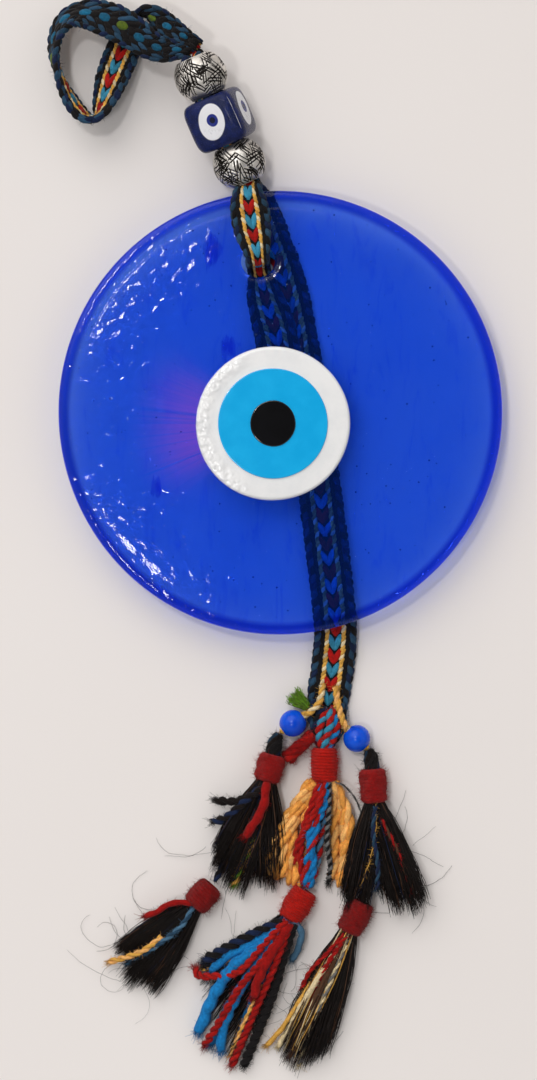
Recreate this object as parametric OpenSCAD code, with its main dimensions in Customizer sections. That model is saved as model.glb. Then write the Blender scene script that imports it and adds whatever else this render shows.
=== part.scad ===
// Hanging glass eye ornament: a flat glass disc with a layered glass eye, held by one braided
// wool strap that carries three beads above it and three pairs of wool tassels below it.
// It lies face up on a table. +Z is up and +Y points to the hanging loop.

/* [Glass disc] */
// Diameter of the glass disc
disc_d = 130.6; // [100:0.2:160]
// Thickness of the glass disc
disc_t = 6; // [4.5:0.5:8]
// Diameter of the hole that the strap passes through
hole_d = 10; // [9.5:0.5:14]
// Distance from the rim to the middle of the hole
hole_inset = 20.4; // [17:0.2:24]

/* [Glass eye] */
// Diameter of the white glass layer
white_d = 45; // [30:0.5:52]
// Height of the white layer above the disc
white_h = 1.8; // [1:0.1:3]
// Diameter of the light blue glass layer
iris_d = 32.4; // [20:0.2:40]
// Diameter of the black glass centre
pupil_d = 13.6; // [6:0.2:18]
// Height of each of the two upper glass layers
layer_h = 0.5; // [0.3:0.1:1]

/* [Braided strap] */
// Width of the flat braid
strap_w = 12; // [8:0.5:14]
// Thickness of the flat braid
strap_t = 2.4; // [1.6:0.1:2.5]

/* [Strap beads] */
// Diameter of the round metal beads
silver_d = 15.6; // [13:0.2:19]
// Length of the round metal beads along the strap
silver_l = 12; // [9:0.5:12.5]
// Width of the cube bead across its flats
cube_w = 16.5; // [14:0.5:20]
// Length of the cube bead along the strap
cube_l = 15; // [12:0.5:18]
// Bore of the three strap beads
bore_d = 9.4; // [9.4:0.1:9.8]

/* [Cord beads] */
// Diameter of the two small round beads
bead_d = 8; // [6:0.2:9]
// Diameter of the cords that carry them
cord_d = 2.6; // [1.6:0.1:3]

/* [Tassels] */
// Diameter of the wool bindings
wrap_d = 7.6; // [6:0.2:8.4]
// Length of the long bindings
wrap_l = 10; // [7:0.5:11]
// Length of the short bindings on the left tassels
short_wrap_l = 8.2; // [6:0.2:9]
// Thickness of the bundle of wool inside a binding
core_d = 5; // [3:0.2:5.6]
// Height of a fringe lying on the table
fringe_t = 5.6; // [4:0.2:6]

/* [Hidden] */
$fn = 64;

// Heights above the table and small gaps
table_gap = 0.2;
move_gap = 0.3;
touch_gap = 0.05;
bead_gap = 0.34;
sunk = 1;
disc_z = 2 * strap_t + 0.5;
front_z = disc_z + disc_t;

// The disc's centre is at zero in plan and the whole part is then moved to its own middle
disc_r = disc_d / 2;
shift = [1.8, 36.2, 0];
up_shift = disc_r - 65.3;
hole_y = disc_r - hole_inset - 0.4;
hole_x = -6.5;
eye_at = [-2.1, -3.4];

// The three strap beads sit on a straight line that climbs gently away from the disc
chain_heading = 114.1;
chain_slope = 8.3;
corner_r = cube_w * 0.63;
chain_dir = [
    cos(chain_slope) * cos(chain_heading),
    cos(chain_slope) * sin(chain_heading),
    sin(chain_slope)
];
chain_left = [-sin(chain_heading), cos(chain_heading), 0];
chain_up = cross(chain_dir, chain_left);
cube_s = silver_l + bead_gap + cube_l / 2;
cube_rest_z = corner_r * cos(chain_slope) + 0.3 * cube_l * sin(chain_slope) + table_gap;
silver_rest_z = silver_d / 2 + table_gap + (cube_s - silver_l / 2) * chain_dir.z;
cube_z = max(cube_rest_z, silver_rest_z);
upper_s = cube_s + cube_l / 2 + bead_gap + silver_l / 2;
chain_end_s = upper_s + silver_l / 2;
chain_start = [
    -9.6,
    67.8 + up_shift,
    cube_z - cube_s * chain_dir.z
];
function on_chain(s) = chain_start + s * chain_dir;

// Inside the beads the two legs are squeezed into a pair that makes a quarter turn
bunch_w = bore_d * 0.7;
bunch_t = bore_d * 0.37;
bunch_off = bunch_t / 2 + 0.25;
end_face_r = sqrt(silver_d * silver_d - silver_l * silver_l) / 2;
bunch_lead = 1.4 + 0.4 * max(0, end_face_r - 5);
bunch_steps = 8;
function bunch_s(k) = (chain_end_s + bunch_lead) * k / bunch_steps - bunch_lead;
function pair_turn(s) = 90 * s / chain_end_s;
function pair_off(s) = bunch_off * (cos(pair_turn(s)) * chain_up + sin(pair_turn(s)) * chain_left);

// One row of a strap route: place, width, thickness, heading in plan, roll about the route
function row(p, w, t, heading, roll) = [p.x, p.y, p.z, w, t, heading, roll];
function raised(p) = [p.x, p.y + up_shift, p.z];

// Front leg: from the cut tail behind the disc, up through the hole, over the rim, into the beads
tail_z = strap_t * 1.5 + 0.15;
hole_mid = [hole_x, hole_y, (disc_z + front_z) / 2];
over_z = front_z + strap_t / 2 + 0.4;
FRONT_FREE = [
    row(raised([1.5, 9, tail_z]), strap_w, strap_t, 100, 0),
    row(raised([-1.5, 24, tail_z]), strap_w, strap_t, 101, 0),
    row(raised([-4.4, 34, tail_z]), strap_w * 0.85, strap_t, 103, 0),
    row(hole_mid + [0.5, -3.2, tail_z - hole_mid.z], 6.8, strap_t, 100, 0),
    row(hole_mid + [0.1, -0.8, tail_z + 0.4 - hole_mid.z], 6.8, 2.6, 100, 0),
    row(hole_mid + [0, 0, -2], 6.8, 2.8, 100, 0),
    row(hole_mid + [0, 0, 2], 6.8, 2.8, 100, 0),
    row(hole_mid + [-0.1, 0.9, over_z - 0.5 - hole_mid.z], 6.8, 2.6, 100, 0),
    row(hole_mid + [-0.5, 3.4, over_z + 0.4 - hole_mid.z], 8, strap_t, 100, 0),
    row([-8.1, hole_y + 9, over_z], strap_w * 0.87, strap_t, 101, 0),
    row([-9.1, hole_y + 16, over_z], strap_w * 0.88, strap_t, 100, 0),
    row([-9.4, hole_y + 20.3, over_z - 0.15], strap_w * 0.68, strap_t, 101, 0)
];
FRONT_ROUTE = concat(
    FRONT_FREE,
    [for (k = [0:bunch_steps]) let (s = bunch_s(k))
        row(on_chain(s) + pair_off(s), bunch_w, bunch_t, chain_heading, -pair_turn(s))]
);

// Back leg: from the top bead down behind the disc to the end where the tassels start
back_z = strap_t / 2 + 0.1;
lift_z = disc_z - move_gap - strap_t / 2;
low = -up_shift;
BACK_FREE = [
    row([-8.6, hole_y + 21, 3.4], strap_w * 0.7, 2.8, 280, 0),
    row([-6.6, hole_y + 16.5, back_z + 0.5], strap_w * 0.9, strap_t, 285, 0),
    row([-4.2, hole_y + 9, back_z], strap_w, strap_t, 287, 0),
    row([0.9, hole_y - 5, back_z], strap_w, strap_t, 286, 0),
    row([4.4, 24.5 + up_shift, back_z], strap_w, strap_t, 284, 0),
    row([8.4, 0, back_z], strap_w, strap_t, 281, 0),
    row([10.8, -16, lift_z - 0.3], strap_w, strap_t, 279, 0),
    row([13.6, -38, lift_z], strap_w, strap_t, 279, 0),
    row([16, -58 + low, lift_z], strap_w, strap_t, 277, 0),
    row([16.4, -66 + low, lift_z - 0.8], strap_w, strap_t, 268, 0),
    row([15.6, -75 + low, back_z + 0.2], strap_w, strap_t, 262, 0),
    row([14.2, -86 + low, back_z], strap_w * 0.95, strap_t, 262, 0),
    row([13.3, -97 + low, back_z], strap_w * 0.6, strap_t, 265, 0)
];
BACK_ROUTE = concat(
    [for (k = [bunch_steps:-1:0]) let (s = bunch_s(k))
        row(on_chain(s) - pair_off(s), bunch_w, bunch_t, chain_heading + 180, pair_turn(s))],
    BACK_FREE
);

// Hanging loop, anticlockwise from above, measured from the bend just past the top bead.
// Roll 0 shows the patterned face upwards and roll -180 the dark back face.
bend_gap = 3;
bend = on_chain(chain_end_s + bend_gap);
LOOP_ROWS = [
    [-2.6, -0.9, 0, 4.6, 3.6, 137, -180],
    [-7.6, -0.6, -0.9, 7, 3, 140, -180],
    [-12.6, 1.9, -2, 8.5, 2.4, 143, -180],
    [-18.2, 6.1, -3.2, 10, 2.4, 147, -175],
    [-24.4, 9.4, -5.4, 11, 2.4, 160, -160],
    [-30.4, 11, -7, 11, 2.4, 180, -142],
    [-35.8, 9.6, -7.2, 11, 2.4, 215, -125],
    [-39, 4.8, -7.2, 11, 2.4, 250, -112],
    [-39.6, -1.4, -7.2, 11, 2.4, 272, -100],
    [-37.6, -8.8, -7.3, 11, 2.4, 290, -84],
    [-34.6, -14.6, -7.6, 11, 2.4, 300, -72],
    [-31.6, -18.4, -7.8, 11, 2.4, 315, -72],
    [-28.8, -19.9, -7.8, 11, 2.4, 355, -80],
    [-26.2, -18.2, -7.8, 11, 2.4, 50, -72],
    [-24.6, -13.6, -8.4, 11, 2.4, 71, -50],
    [-22.6, -7, -9.4, 11, 2.4, 73, -30],
    [-20.2, -0.4, -10.5, 10.5, 2.4, 70, -18],
    [-18, 5.2, -10.9, 9.5, 2.4, 66, -14],
    [-16, 9.4, -10, 8, 2.4, 55, -45],
    [-13.4, 11.2, -8, 7.5, 2.4, 5, -95],
    [-10.2, 9.8, -5.6, 7.5, 2.4, -30, -140],
    [-5.6, 6.2, -2.6, 7, 3, -40, -180],
    [0.6, 1.9, 0, 4.6, 3.6, -43, -180]
];
LOOP_ROUTE = [
    for (r = LOOP_ROWS)
        row(bend + [r[0], r[1], r[2]], r[3] * strap_w / 12, r[4] * strap_t / 2.4, r[5], r[6])
];

// Smooth curve through the rows: a Catmull-Rom spline on all seven values at once
function spline(a, b, c, d, u) =
    0.5 * (2 * b + (c - a) * u + (2 * a - 5 * b + 4 * c - d) * u * u
        + (3 * b - a - 3 * c + d) * u * u * u);
function turned(r, turns) = [r[0], r[1], r[2], r[3], r[4], r[5] + 360 * turns, r[6]];
function near(r, ref) = turned(r, round((ref[5] - r[5]) / 360));
function refine(rows, steps) = [
    for (i = [0:len(rows) - 2], k = [0:steps - 1])
        let (b = rows[i], a = near(rows[max(i - 1, 0)], b), c = near(rows[i + 1], b),
            d = near(rows[min(i + 2, len(rows) - 1)], c))
        spline(a, b, c, d, k / steps),
    rows[len(rows) - 1]
];
function spot(r) = [r[0], r[1], r[2]];
function unit(v) = v / norm(v);

// Eight corners of a flat braid's cross-section with chamfered edges
function section(w, t) =
    let (c = min(t, w) * 0.32, x = w / 2, y = t / 2)
    [[x, y - c], [x - c, y], [c - x, y], [-x, y - c], [-x, c - y], [c - x, -y], [x - c, -y], [x, c - y]];
function ring(rows, i) =
    let (last = len(rows) - 1, r = rows[i],
        along = unit(spot(rows[min(i + 1, last)]) - spot(rows[max(i - 1, 0)])),
        side = [-sin(r[5]), cos(r[5]), 0],
        lift = unit(cross(along, side)),
        across = unit(cross(lift, along)),
        width_dir = cos(r[6]) * across + sin(r[6]) * lift,
        thick_dir = cross(along, width_dir))
    [for (q = section(r[3], r[4])) spot(r) + q.x * width_dir + q.y * thick_dir];
module sweep(rows) {
    sides = 8;
    rings = len(rows);
    points = [for (i = [0:rings - 1]) each ring(rows, i)];
    walls = [
        for (i = [0:rings - 2], k = [0:sides - 1])
            let (a = i * sides + k, b = i * sides + (k + 1) % sides)
            each [[a, b, b + sides], [a, b + sides, a + sides]]
    ];
    start_cap = [for (k = [0:sides - 1]) sides - 1 - k];
    end_cap = [for (k = [0:sides - 1]) (rings - 1) * sides + k];
    polyhedron(points, [for (f = concat([start_cap, end_cap], walls)) [f[0], each [for (j = [len(f) - 1:-1:1]) f[j]]]]);
}

// Tassels: each starts at a point with a heading, and its lower end is a binding's length further
function heading_dir(h) = [cos(h), sin(h), 0];
wrap_r = wrap_d / 2;
wrap_z = wrap_r + table_gap;
neck_r = 2.5;
link_r = 1;
link_z = link_r + table_gap;
hang_gap = 1.1;
core_in = 0.8;

bead_z = bead_d / 2 + table_gap;
left_cord_heading = 215.5;
right_cord_heading = 315;
left_bead_at = [3.8, -91.7 + low, bead_z];
right_bead_at = [22.7, -96.2 + low, bead_z];
cord_lead = bead_d / 2 + 1.6;
cord_tail = bead_d / 2 + 0.5;
left_hang = left_bead_at + (cord_tail + 0.4) * heading_dir(left_cord_heading);
right_hang = right_bead_at + (cord_tail + 0.4) * heading_dir(right_cord_heading);

left_heading = 255;
left_top = left_hang + [-1.8, -6.3, wrap_z - bead_z];
left_end = left_top + short_wrap_l * heading_dir(left_heading);
left_low_heading = 228;
left_low_hang = left_end + [-15.2, -30, 0];
left_low_top = left_low_hang + hang_gap * heading_dir(left_low_heading);
left_low_end = left_low_top + short_wrap_l * heading_dir(left_low_heading);

centre_hang = [13.1, -98.3 + low, wrap_z];
centre_top = centre_hang + [0, -0.6, 0];
centre_end = centre_top + [0, -wrap_l, 0];
centre_low_heading = 240;
centre_low_hang = centre_end + [-5, -31.1, 0];
centre_low_top = centre_low_hang + hang_gap * heading_dir(centre_low_heading);
centre_low_end = centre_low_top + wrap_l * heading_dir(centre_low_heading);

right_heading = 274;
right_z = wrap_z + 0.6;
right_top = [right_hang.x + 1, right_hang.y - 5.4, right_z];
right_end = right_top + wrap_l * heading_dir(right_heading);
right_low_heading = 245;
right_low_hang = right_end + [-3, -28.4, wrap_z - right_z];
right_low_top = right_low_hang + hang_gap * heading_dir(right_low_heading);
right_low_end = right_low_top + wrap_l * heading_dir(right_low_heading);

// Fringe outlines, along the tassel and to its left, from the lower end of the binding
LEFT_UPPER_FAN = [
    [0.6, -1], [6.5, -6.5], [14, -8], [23.5, -9], [27, -8.5],
    [30, -2.5], [33, 0.5], [32.5, 6], [20.5, 2.5], [0.6, 3]
];
LEFT_LOWER_FAN = [
    [0.6, -3.5], [12.5, -5.5], [27.5, -9.5], [29, -6], [30, 1.5],
    [29, 9.5], [23, 9], [9, 7], [0.6, 3.5]
];
LEFT_TUFT = [
    [0.6, -2.6], [5.5, -7.5], [12.5, -12], [18.5, -15.5], [26, -15],
    [30.5, -12.5], [26, -9.5], [20, -7.5], [11.5, -5.5], [0.6, -0.6]
];
RIGHT_TUFT = [
    [0.6, 2.9], [5.5, 6], [14, 8.5], [23, 8], [30.5, 6.5],
    [30, 4.4], [17, 4.2], [5.5, 4], [0.6, 2.6]
];
CENTRE_LOWER_FAN = [
    [0.6, -3], [11, -10], [23, -15.5], [31.5, -12.5], [43, -7], [46.5, -1.5],
    [46.5, 7], [45, 9.5], [30, 7], [20, 4], [9, 2.5], [0.6, 3]
];
RIGHT_UPPER_FAN = [
    [0.6, -3.2], [10.5, -6.5], [22, -8.5], [25, -8.5], [26, -3],
    [30, 1], [30.5, 13], [22, 11.5], [11.5, 8], [0.6, 3]
];
RIGHT_LOWER_FAN = [
    [0.6, -2.5], [12, -4.5], [27.5, -5.5], [40.5, -5], [43, -1],
    [43, 4.5], [36.5, 5.5], [22, 5], [9, 5.5], [0.6, 3.5]
];

// ---- shared shapes ----

module placed() translate(shift) children();

// Lays local +X along the table in the given heading
module headed(p, h) translate(p) rotate([0, 0, h]) children();

// Lays local +Z along the line of strap beads, with local +Y up
module chained(s) {
    translate(on_chain(s))
        rotate([0, 0, chain_heading])
            rotate([0, 90 - chain_slope, 0])
                rotate([0, 0, 90])
                    children();
}

// A round bar from one point to another
module bar(a, b, r) {
    v = b - a;
    translate(a)
        rotate([0, acos(v.z / norm(v)), atan2(v.y, v.x)])
            cylinder(h = norm(v), r = r);
}

// A wool binding: a tube wound round the bundle
module binding(p, h, l) {
    color("firebrick")
        placed() headed(p, h) rotate([0, 90, 0]) difference() {
            cylinder(h = l, d = wrap_d);
            translate([0, 0, -1]) cylinder(h = l + 2, d = core_d + 2 * touch_gap);
        }
}

// A fringe: the bundle inside the binding, opening into a flat fan on the table
module fringe(p, h, l, outline, bottom, top) {
    placed() headed(p, h) {
        translate([core_in, 0, 0]) rotate([0, 90, 0]) cylinder(h = l + 1.4 - core_in, d = core_d);
        translate([l, 0, bottom - p.z]) linear_extrude(top - bottom) polygon(outline);
    }
}

// ---- glass ----

module glass_disc() {
    rim_r = disc_t / 2;
    color([0.1, 0.2, 0.85, 0.6]) placed() difference() {
        translate([0, 0, disc_z]) rotate_extrude($fn = 180) {
            square([disc_r - rim_r, disc_t]);
            intersection() {
                translate([disc_r - rim_r, rim_r]) circle(r = rim_r);
                translate([disc_r - 2 * rim_r, 0]) square([2 * rim_r, disc_t]);
            }
        }
        translate([hole_x, hole_y, disc_z - 1]) cylinder(h = disc_t + 2, d = hole_d);
        translate([eye_at.x, eye_at.y, front_z - sunk]) cylinder(h = sunk + 1, d = white_d);
    }
}

// One layer of the eye: a low disc with a rounded edge
module layer(z, d, h, edge) {
    placed() translate([eye_at.x, eye_at.y, z]) rotate_extrude($fn = 120) {
        square([d / 2 - edge, h]);
        square([d / 2, h - edge]);
        translate([d / 2 - edge, h - edge]) circle(r = edge);
    }
}
module eye_white() color("white") layer(front_z - sunk, white_d, sunk + white_h, 0.8);
module eye_light_blue() color("deepskyblue") layer(front_z + white_h, iris_d, layer_h, 0.2);
module eye_pupil() color("black") layer(front_z + white_h + layer_h, pupil_d, layer_h, 0.2);

// ---- strap ----

module strap_front_leg() color("darkslategray") placed() sweep(FRONT_ROUTE);
module strap_back_leg() color("darkslategray") placed() sweep(BACK_ROUTE);
module strap_loop() color("darkslategray") placed() sweep(refine(LOOP_ROUTE, 2));

// ---- beads on the strap ----

// A round bead cut flat at both ends, with a wide bore
module silver_bead(s) {
    color("silver") placed() chained(s) difference() {
        intersection() {
            sphere(d = silver_d);
            translate([0, 0, -silver_l / 2]) cylinder(h = silver_l, d = silver_d + 2);
        }
        translate([0, 0, -silver_l]) cylinder(h = 2 * silver_l, d = bore_d);
    }
}
module lower_silver_bead() silver_bead(silver_l / 2);
module upper_silver_bead() silver_bead(upper_s);

// A glazed cube with rounded long edges and corners, rolled a little about the strap
module cube_bead() {
    cube_roll = -20;
    color("midnightblue") placed() chained(cube_s) rotate([0, 0, cube_roll]) difference() {
        intersection() {
            cube([cube_w, cube_w, cube_l], center = true);
            cylinder(h = cube_l + 2, r = corner_r, center = true);
            sphere(r = cube_w * 0.73);
        }
        cylinder(h = cube_l + 2, d = bore_d, center = true);
    }
}

// ---- cords and small beads below the disc ----

module bead_cord(p, h) {
    color("goldenrod") placed()
        bar(p - cord_lead * heading_dir(h), p + cord_tail * heading_dir(h), cord_d / 2);
}
module left_bead_cord() bead_cord(left_bead_at, left_cord_heading);
module right_bead_cord() bead_cord(right_bead_at, right_cord_heading);

module round_bead(p, h) {
    bore_r = cord_d / 2 + touch_gap;
    color("royalblue") placed() headed(p, h) rotate([0, 90, 0]) rotate_extrude() intersection() {
        circle(d = bead_d);
        translate([bore_r, -bead_d / 2]) square([bead_d / 2, bead_d]);
    }
}
module left_round_bead() round_bead(left_bead_at, left_cord_heading);
module right_round_bead() round_bead(right_bead_at, right_cord_heading);

module green_tuft() {
    color("olivedrab") placed()
        headed([7.6, -86.8 + low, 3.9], 140) rotate([0, 90, 0]) cylinder(h = 6.4, r1 = 0.9, r2 = 1.9);
}
module red_yarn_tail() {
    color("firebrick") placed()
        bar([8.9, -95.4 + low, 4.2], [3.4, -101.2 + low, 1.8], 1.3);
}

// ---- left tassels ----

module neck(hang, top, back) {
    color([0.08, 0.06, 0.07]) placed() {
        reach = unit(top - hang);
        translate(hang + back * reach) sphere(r = neck_r);
        bar(hang + back * reach, top - touch_gap * reach, neck_r);
    }
}
module left_neck() neck(left_hang, left_top, 3.2);
module left_upper_binding() binding(left_top, left_heading, short_wrap_l);
module left_upper_fringe() {
    color([0.08, 0.06, 0.07])
        fringe(left_top, left_heading, short_wrap_l, LEFT_UPPER_FAN, 2.6, 2.6 + fringe_t);
}
module left_link_yarn() {
    color("navy") placed()
        bar([left_end.x - 1, left_end.y - 3, link_z], [left_low_hang.x + 0.2, left_low_hang.y + 0.5, link_z], link_r);
}
module left_lower_binding() binding(left_low_top, left_low_heading, short_wrap_l);
module left_lower_fringe() {
    color([0.08, 0.06, 0.07])
        fringe(left_low_top, left_low_heading, short_wrap_l, LEFT_LOWER_FAN, table_gap, table_gap + fringe_t);
}

// ---- centre tassels ----

tuft_t = 3.6;
module centre_upper_binding() binding(centre_top, 270, wrap_l);
module tuft(outline) {
    color("sandybrown") placed() headed([centre_end.x, centre_end.y, table_gap], 270)
        linear_extrude(tuft_t) polygon(outline);
}
module left_orange_tuft() tuft(LEFT_TUFT);
module right_orange_tuft() tuft(RIGHT_TUFT);
module centre_link_yarns() {
    color("steelblue") placed()
        bar([centre_end.x, centre_end.y - 0.7, 6.1], [centre_low_hang.x + 0.2, centre_low_hang.y + 0.6, wrap_z], 1.9);
}
module tweed_yarn() {
    color("gray") placed()
        bar([centre_end.x + 2.9, centre_end.y - 0.6, 5], [centre_end.x + 1.6, centre_end.y - 30, 1.2], 0.9);
}
module centre_lower_binding() binding(centre_low_top, centre_low_heading, wrap_l);
module centre_lower_yarns() {
    color("dodgerblue")
        fringe(centre_low_top, centre_low_heading, wrap_l, CENTRE_LOWER_FAN, table_gap, table_gap + fringe_t);
}

// ---- right tassels ----

module right_neck() neck([right_hang.x, right_hang.y, right_hang.z], right_top, 2.9);
module right_upper_binding() binding(right_top, right_heading, wrap_l);
module right_upper_fringe() {
    color([0.08, 0.06, 0.07])
        fringe(right_top, right_heading, wrap_l, RIGHT_UPPER_FAN, table_gap + tuft_t + 0.5, table_gap + tuft_t + fringe_t);
}
module right_link_yarn() {
    color("navy") placed()
        bar([right_end.x - 0.4, right_end.y - 2.4, link_z], [right_low_hang.x + 0.1, right_low_hang.y + 0.6, link_z], link_r);
}
module right_lower_binding() binding(right_low_top, right_low_heading, wrap_l);
module right_lower_fringe() {
    color([0.08, 0.06, 0.07])
        fringe(right_low_top, right_low_heading, wrap_l, RIGHT_LOWER_FAN, table_gap, table_gap + fringe_t);
}

glass_disc();
eye_white();
eye_light_blue();
eye_pupil();
strap_front_leg();
strap_loop();
strap_back_leg();
lower_silver_bead();
cube_bead();
upper_silver_bead();
left_bead_cord();
right_bead_cord();
left_round_bead();
right_round_bead();
green_tuft();
red_yarn_tail();
left_neck();
left_upper_binding();
left_upper_fringe();
left_link_yarn();
left_lower_binding();
left_lower_fringe();
centre_upper_binding();
left_orange_tuft();
right_orange_tuft();
centre_link_yarns();
tweed_yarn();
centre_lower_binding();
centre_lower_yarns();
right_neck();
right_upper_binding();
right_upper_fringe();
right_link_yarn();
right_lower_binding();
right_lower_fringe();
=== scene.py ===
# %% The frame that everything is built around
import bpy
import numpy as np
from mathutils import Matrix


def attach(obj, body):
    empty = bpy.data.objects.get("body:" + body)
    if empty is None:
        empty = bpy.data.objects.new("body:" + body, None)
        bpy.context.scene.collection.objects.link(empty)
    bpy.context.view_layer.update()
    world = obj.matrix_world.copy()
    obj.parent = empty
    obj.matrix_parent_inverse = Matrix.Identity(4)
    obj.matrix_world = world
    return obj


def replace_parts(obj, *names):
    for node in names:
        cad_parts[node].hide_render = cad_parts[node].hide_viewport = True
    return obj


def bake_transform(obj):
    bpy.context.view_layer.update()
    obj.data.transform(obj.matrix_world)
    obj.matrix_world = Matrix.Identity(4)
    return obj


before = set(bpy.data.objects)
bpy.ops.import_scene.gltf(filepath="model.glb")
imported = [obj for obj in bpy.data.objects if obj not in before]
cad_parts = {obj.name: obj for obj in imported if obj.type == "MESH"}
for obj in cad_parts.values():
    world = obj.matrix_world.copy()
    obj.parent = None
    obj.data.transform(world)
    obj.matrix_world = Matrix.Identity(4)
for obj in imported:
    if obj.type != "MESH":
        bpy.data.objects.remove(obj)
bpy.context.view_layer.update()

MM = 0.001
SHIFT = np.array([1.8, 36.2, 0.0])

# %% [markdown]
# # A glass eye on a braided strap
# The ornament is a flat plate of cobalt glass with a layered glass eye. A woollen braid passes
# through its hole, carries three beads and a hanging loop above it, and ends in wool tassels.
# Every length below is in millimetres from the centre of the glass plate, x to the right and y
# up the table. `placed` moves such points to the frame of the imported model, in metres.

# %% Small helpers for points
def placed(points):
    """Millimetres from the plate's centre turned into metres in the shared frame."""
    return (np.asarray(points, float) + SHIFT) * MM


def unit(vectors):
    """Each vector divided by its own length."""
    return vectors / np.maximum(np.linalg.norm(vectors, axis=-1, keepdims=True), 1e-9)


def heading(degrees):
    """The level direction at an angle, measured anticlockwise from +x."""
    a = np.radians(degrees)
    return np.stack([np.cos(a), np.sin(a), np.zeros_like(a)], axis=-1)


def random_numbers(seed):
    """A stream of random numbers that is the same on every run."""
    return np.random.default_rng(seed)


print("plate centre:", placed([0, 0, 0]))

# %% [markdown]
# ## The camera and the light
# The ornament lies on a white table and is seen from straight above, so the camera looks down
# the z axis and stays upright. A long lens from most of a metre away keeps the taller beads
# from leaning outwards. The room is plain: a soft sky that is brighter towards the upper left,
# and two small panels to the left that leave bright marks on the ripples of the glass. Straight
# overhead the sky is dark, as it is under anybody who leans over a table, so black and cobalt
# stay deep.

# %% Camera
camera = bpy.data.objects.new("camera", bpy.data.cameras.new("camera"))
bpy.context.scene.collection.objects.link(camera)
bpy.context.scene.camera = camera
view_height = 0.3186
camera_height = 0.9
focus_height = 0.006
film_height = 36
camera.location = (-0.0016, -0.0013, camera_height)
camera.data.sensor_fit = "VERTICAL"
camera.data.sensor_height = film_height
camera.data.lens = film_height * (camera_height - focus_height) / view_height
camera.data.clip_end = 20
print("lens:", round(camera.data.lens, 1), "mm")

# %% Light and table
def panel(name, azimuth, from_zenith, distance, size, watts, warmth=(1, 1, 1)):
    """A rectangular lamp that faces the ornament, placed by its direction and its distance."""
    lamp = bpy.data.lights.new(name, "AREA")
    lamp.shape, lamp.size, lamp.size_y = "RECTANGLE", size[0], size[1]
    lamp.energy, lamp.color = watts, warmth
    thing = bpy.data.objects.new(name, lamp)
    a, z = np.radians(azimuth), np.radians(from_zenith)
    thing.location = (distance * np.sin(z) * np.cos(a), distance * np.sin(z) * np.sin(a),
                      distance * np.cos(z))
    thing.rotation_euler = (0, z, a)
    bpy.context.scene.collection.objects.link(thing)
    return thing


panel("upper_window", 133, 21, 1.5, (0.12, 0.18), 3.6)
panel("lower_window", 216, 16, 1.5, (0.12, 0.18), 3.2)

world = bpy.data.worlds.new("soft_room")
bpy.context.scene.world = world
world.use_nodes = True
sky = world.node_tree
glow = sky.nodes["Background"]
glow.inputs["Color"].default_value = (1.0, 0.975, 0.955, 1)
direction = sky.nodes.new("ShaderNodeTexCoord")
height = sky.nodes.new("ShaderNodeSeparateXYZ")
dome = sky.nodes.new("ShaderNodeMapRange")
dome.interpolation_type = "SMOOTHSTEP"
horizon, lobe = sky.nodes.new("ShaderNodeMapRange"), sky.nodes.new("ShaderNodeMapRange")
horizon.interpolation_type = lobe.interpolation_type = "SMOOTHSTEP"
for node, values in ((dome, (0.72, 0.93, 0.62, 0.05)), (horizon, (0.0, 0.5, 0.25, 1.0)),
                     (lobe, (0.78, 1.0, 0.0, 2.15))):
    for socket, value in zip(list(node.inputs)[1:5], values):
        socket.default_value = value
toward, even, total = (sky.nodes.new(kind) for kind in ("ShaderNodeVectorMath", "ShaderNodeMath",
                                                        "ShaderNodeMath"))
toward.operation, even.operation, total.operation = "DOT_PRODUCT", "MULTIPLY", "ADD"
lamp_side = np.radians(118)
toward.inputs[1].default_value = (0.766 * np.cos(lamp_side), 0.766 * np.sin(lamp_side), 0.643)
for start, end in (
    (direction.outputs["Generated"], height.inputs[0]), (direction.outputs["Generated"], toward.inputs[0]),
    (height.outputs["Z"], dome.inputs[0]), (height.outputs["Z"], horizon.inputs[0]),
    (toward.outputs["Value"], lobe.inputs[0]),
    (dome.outputs[0], even.inputs[0]), (horizon.outputs[0], even.inputs[1]),
    (even.outputs[0], total.inputs[0]),
    (lobe.outputs[0], total.inputs[1]), (total.outputs[0], glow.inputs["Strength"]),
):
    sky.links.new(start, end)
bpy.context.scene.view_settings.view_transform = "Standard"
bpy.context.scene.view_settings.look = "None"
print("lights:", len(bpy.data.lights))

# %% [markdown]
# ## Meshes from arrays
# Most of this ornament is wool: hundreds of strands that would be slow to make one at a time.
# Each family of strands is instead one array of points with the shape (strand, ring, side), and
# the faces are index arithmetic on the same shape. A solid of revolution is a grid that closes
# on itself in both directions, so it has no seam and no open pole.

# %% Mesh helpers
def grid_faces(count, rows, columns, close_rows=False):
    """Four-sided faces of `count` grids whose columns wrap round, turned outwards when a column
    step crossed with a row step points out. Rows wrap too when asked."""
    last = rows if close_rows else rows - 1
    i, k = np.meshgrid(np.arange(last), np.arange(columns), indexing="ij")
    j, m = (i + 1) % rows, (k + 1) % columns
    one = np.stack([i * columns + k, i * columns + m, j * columns + m, j * columns + k], -1).reshape(-1, 4)
    return (one[None] + (np.arange(count) * rows * columns)[:, None, None]).reshape(-1, 4)


def cap_faces(count, rows, columns):
    """The two end faces of each of `count` tubes."""
    start = np.arange(columns)[::-1]
    end = np.arange(columns) + (rows - 1) * columns
    both = np.stack([start, end])
    return (both[None] + (np.arange(count) * rows * columns)[:, None, None]).reshape(-1, columns)


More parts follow.
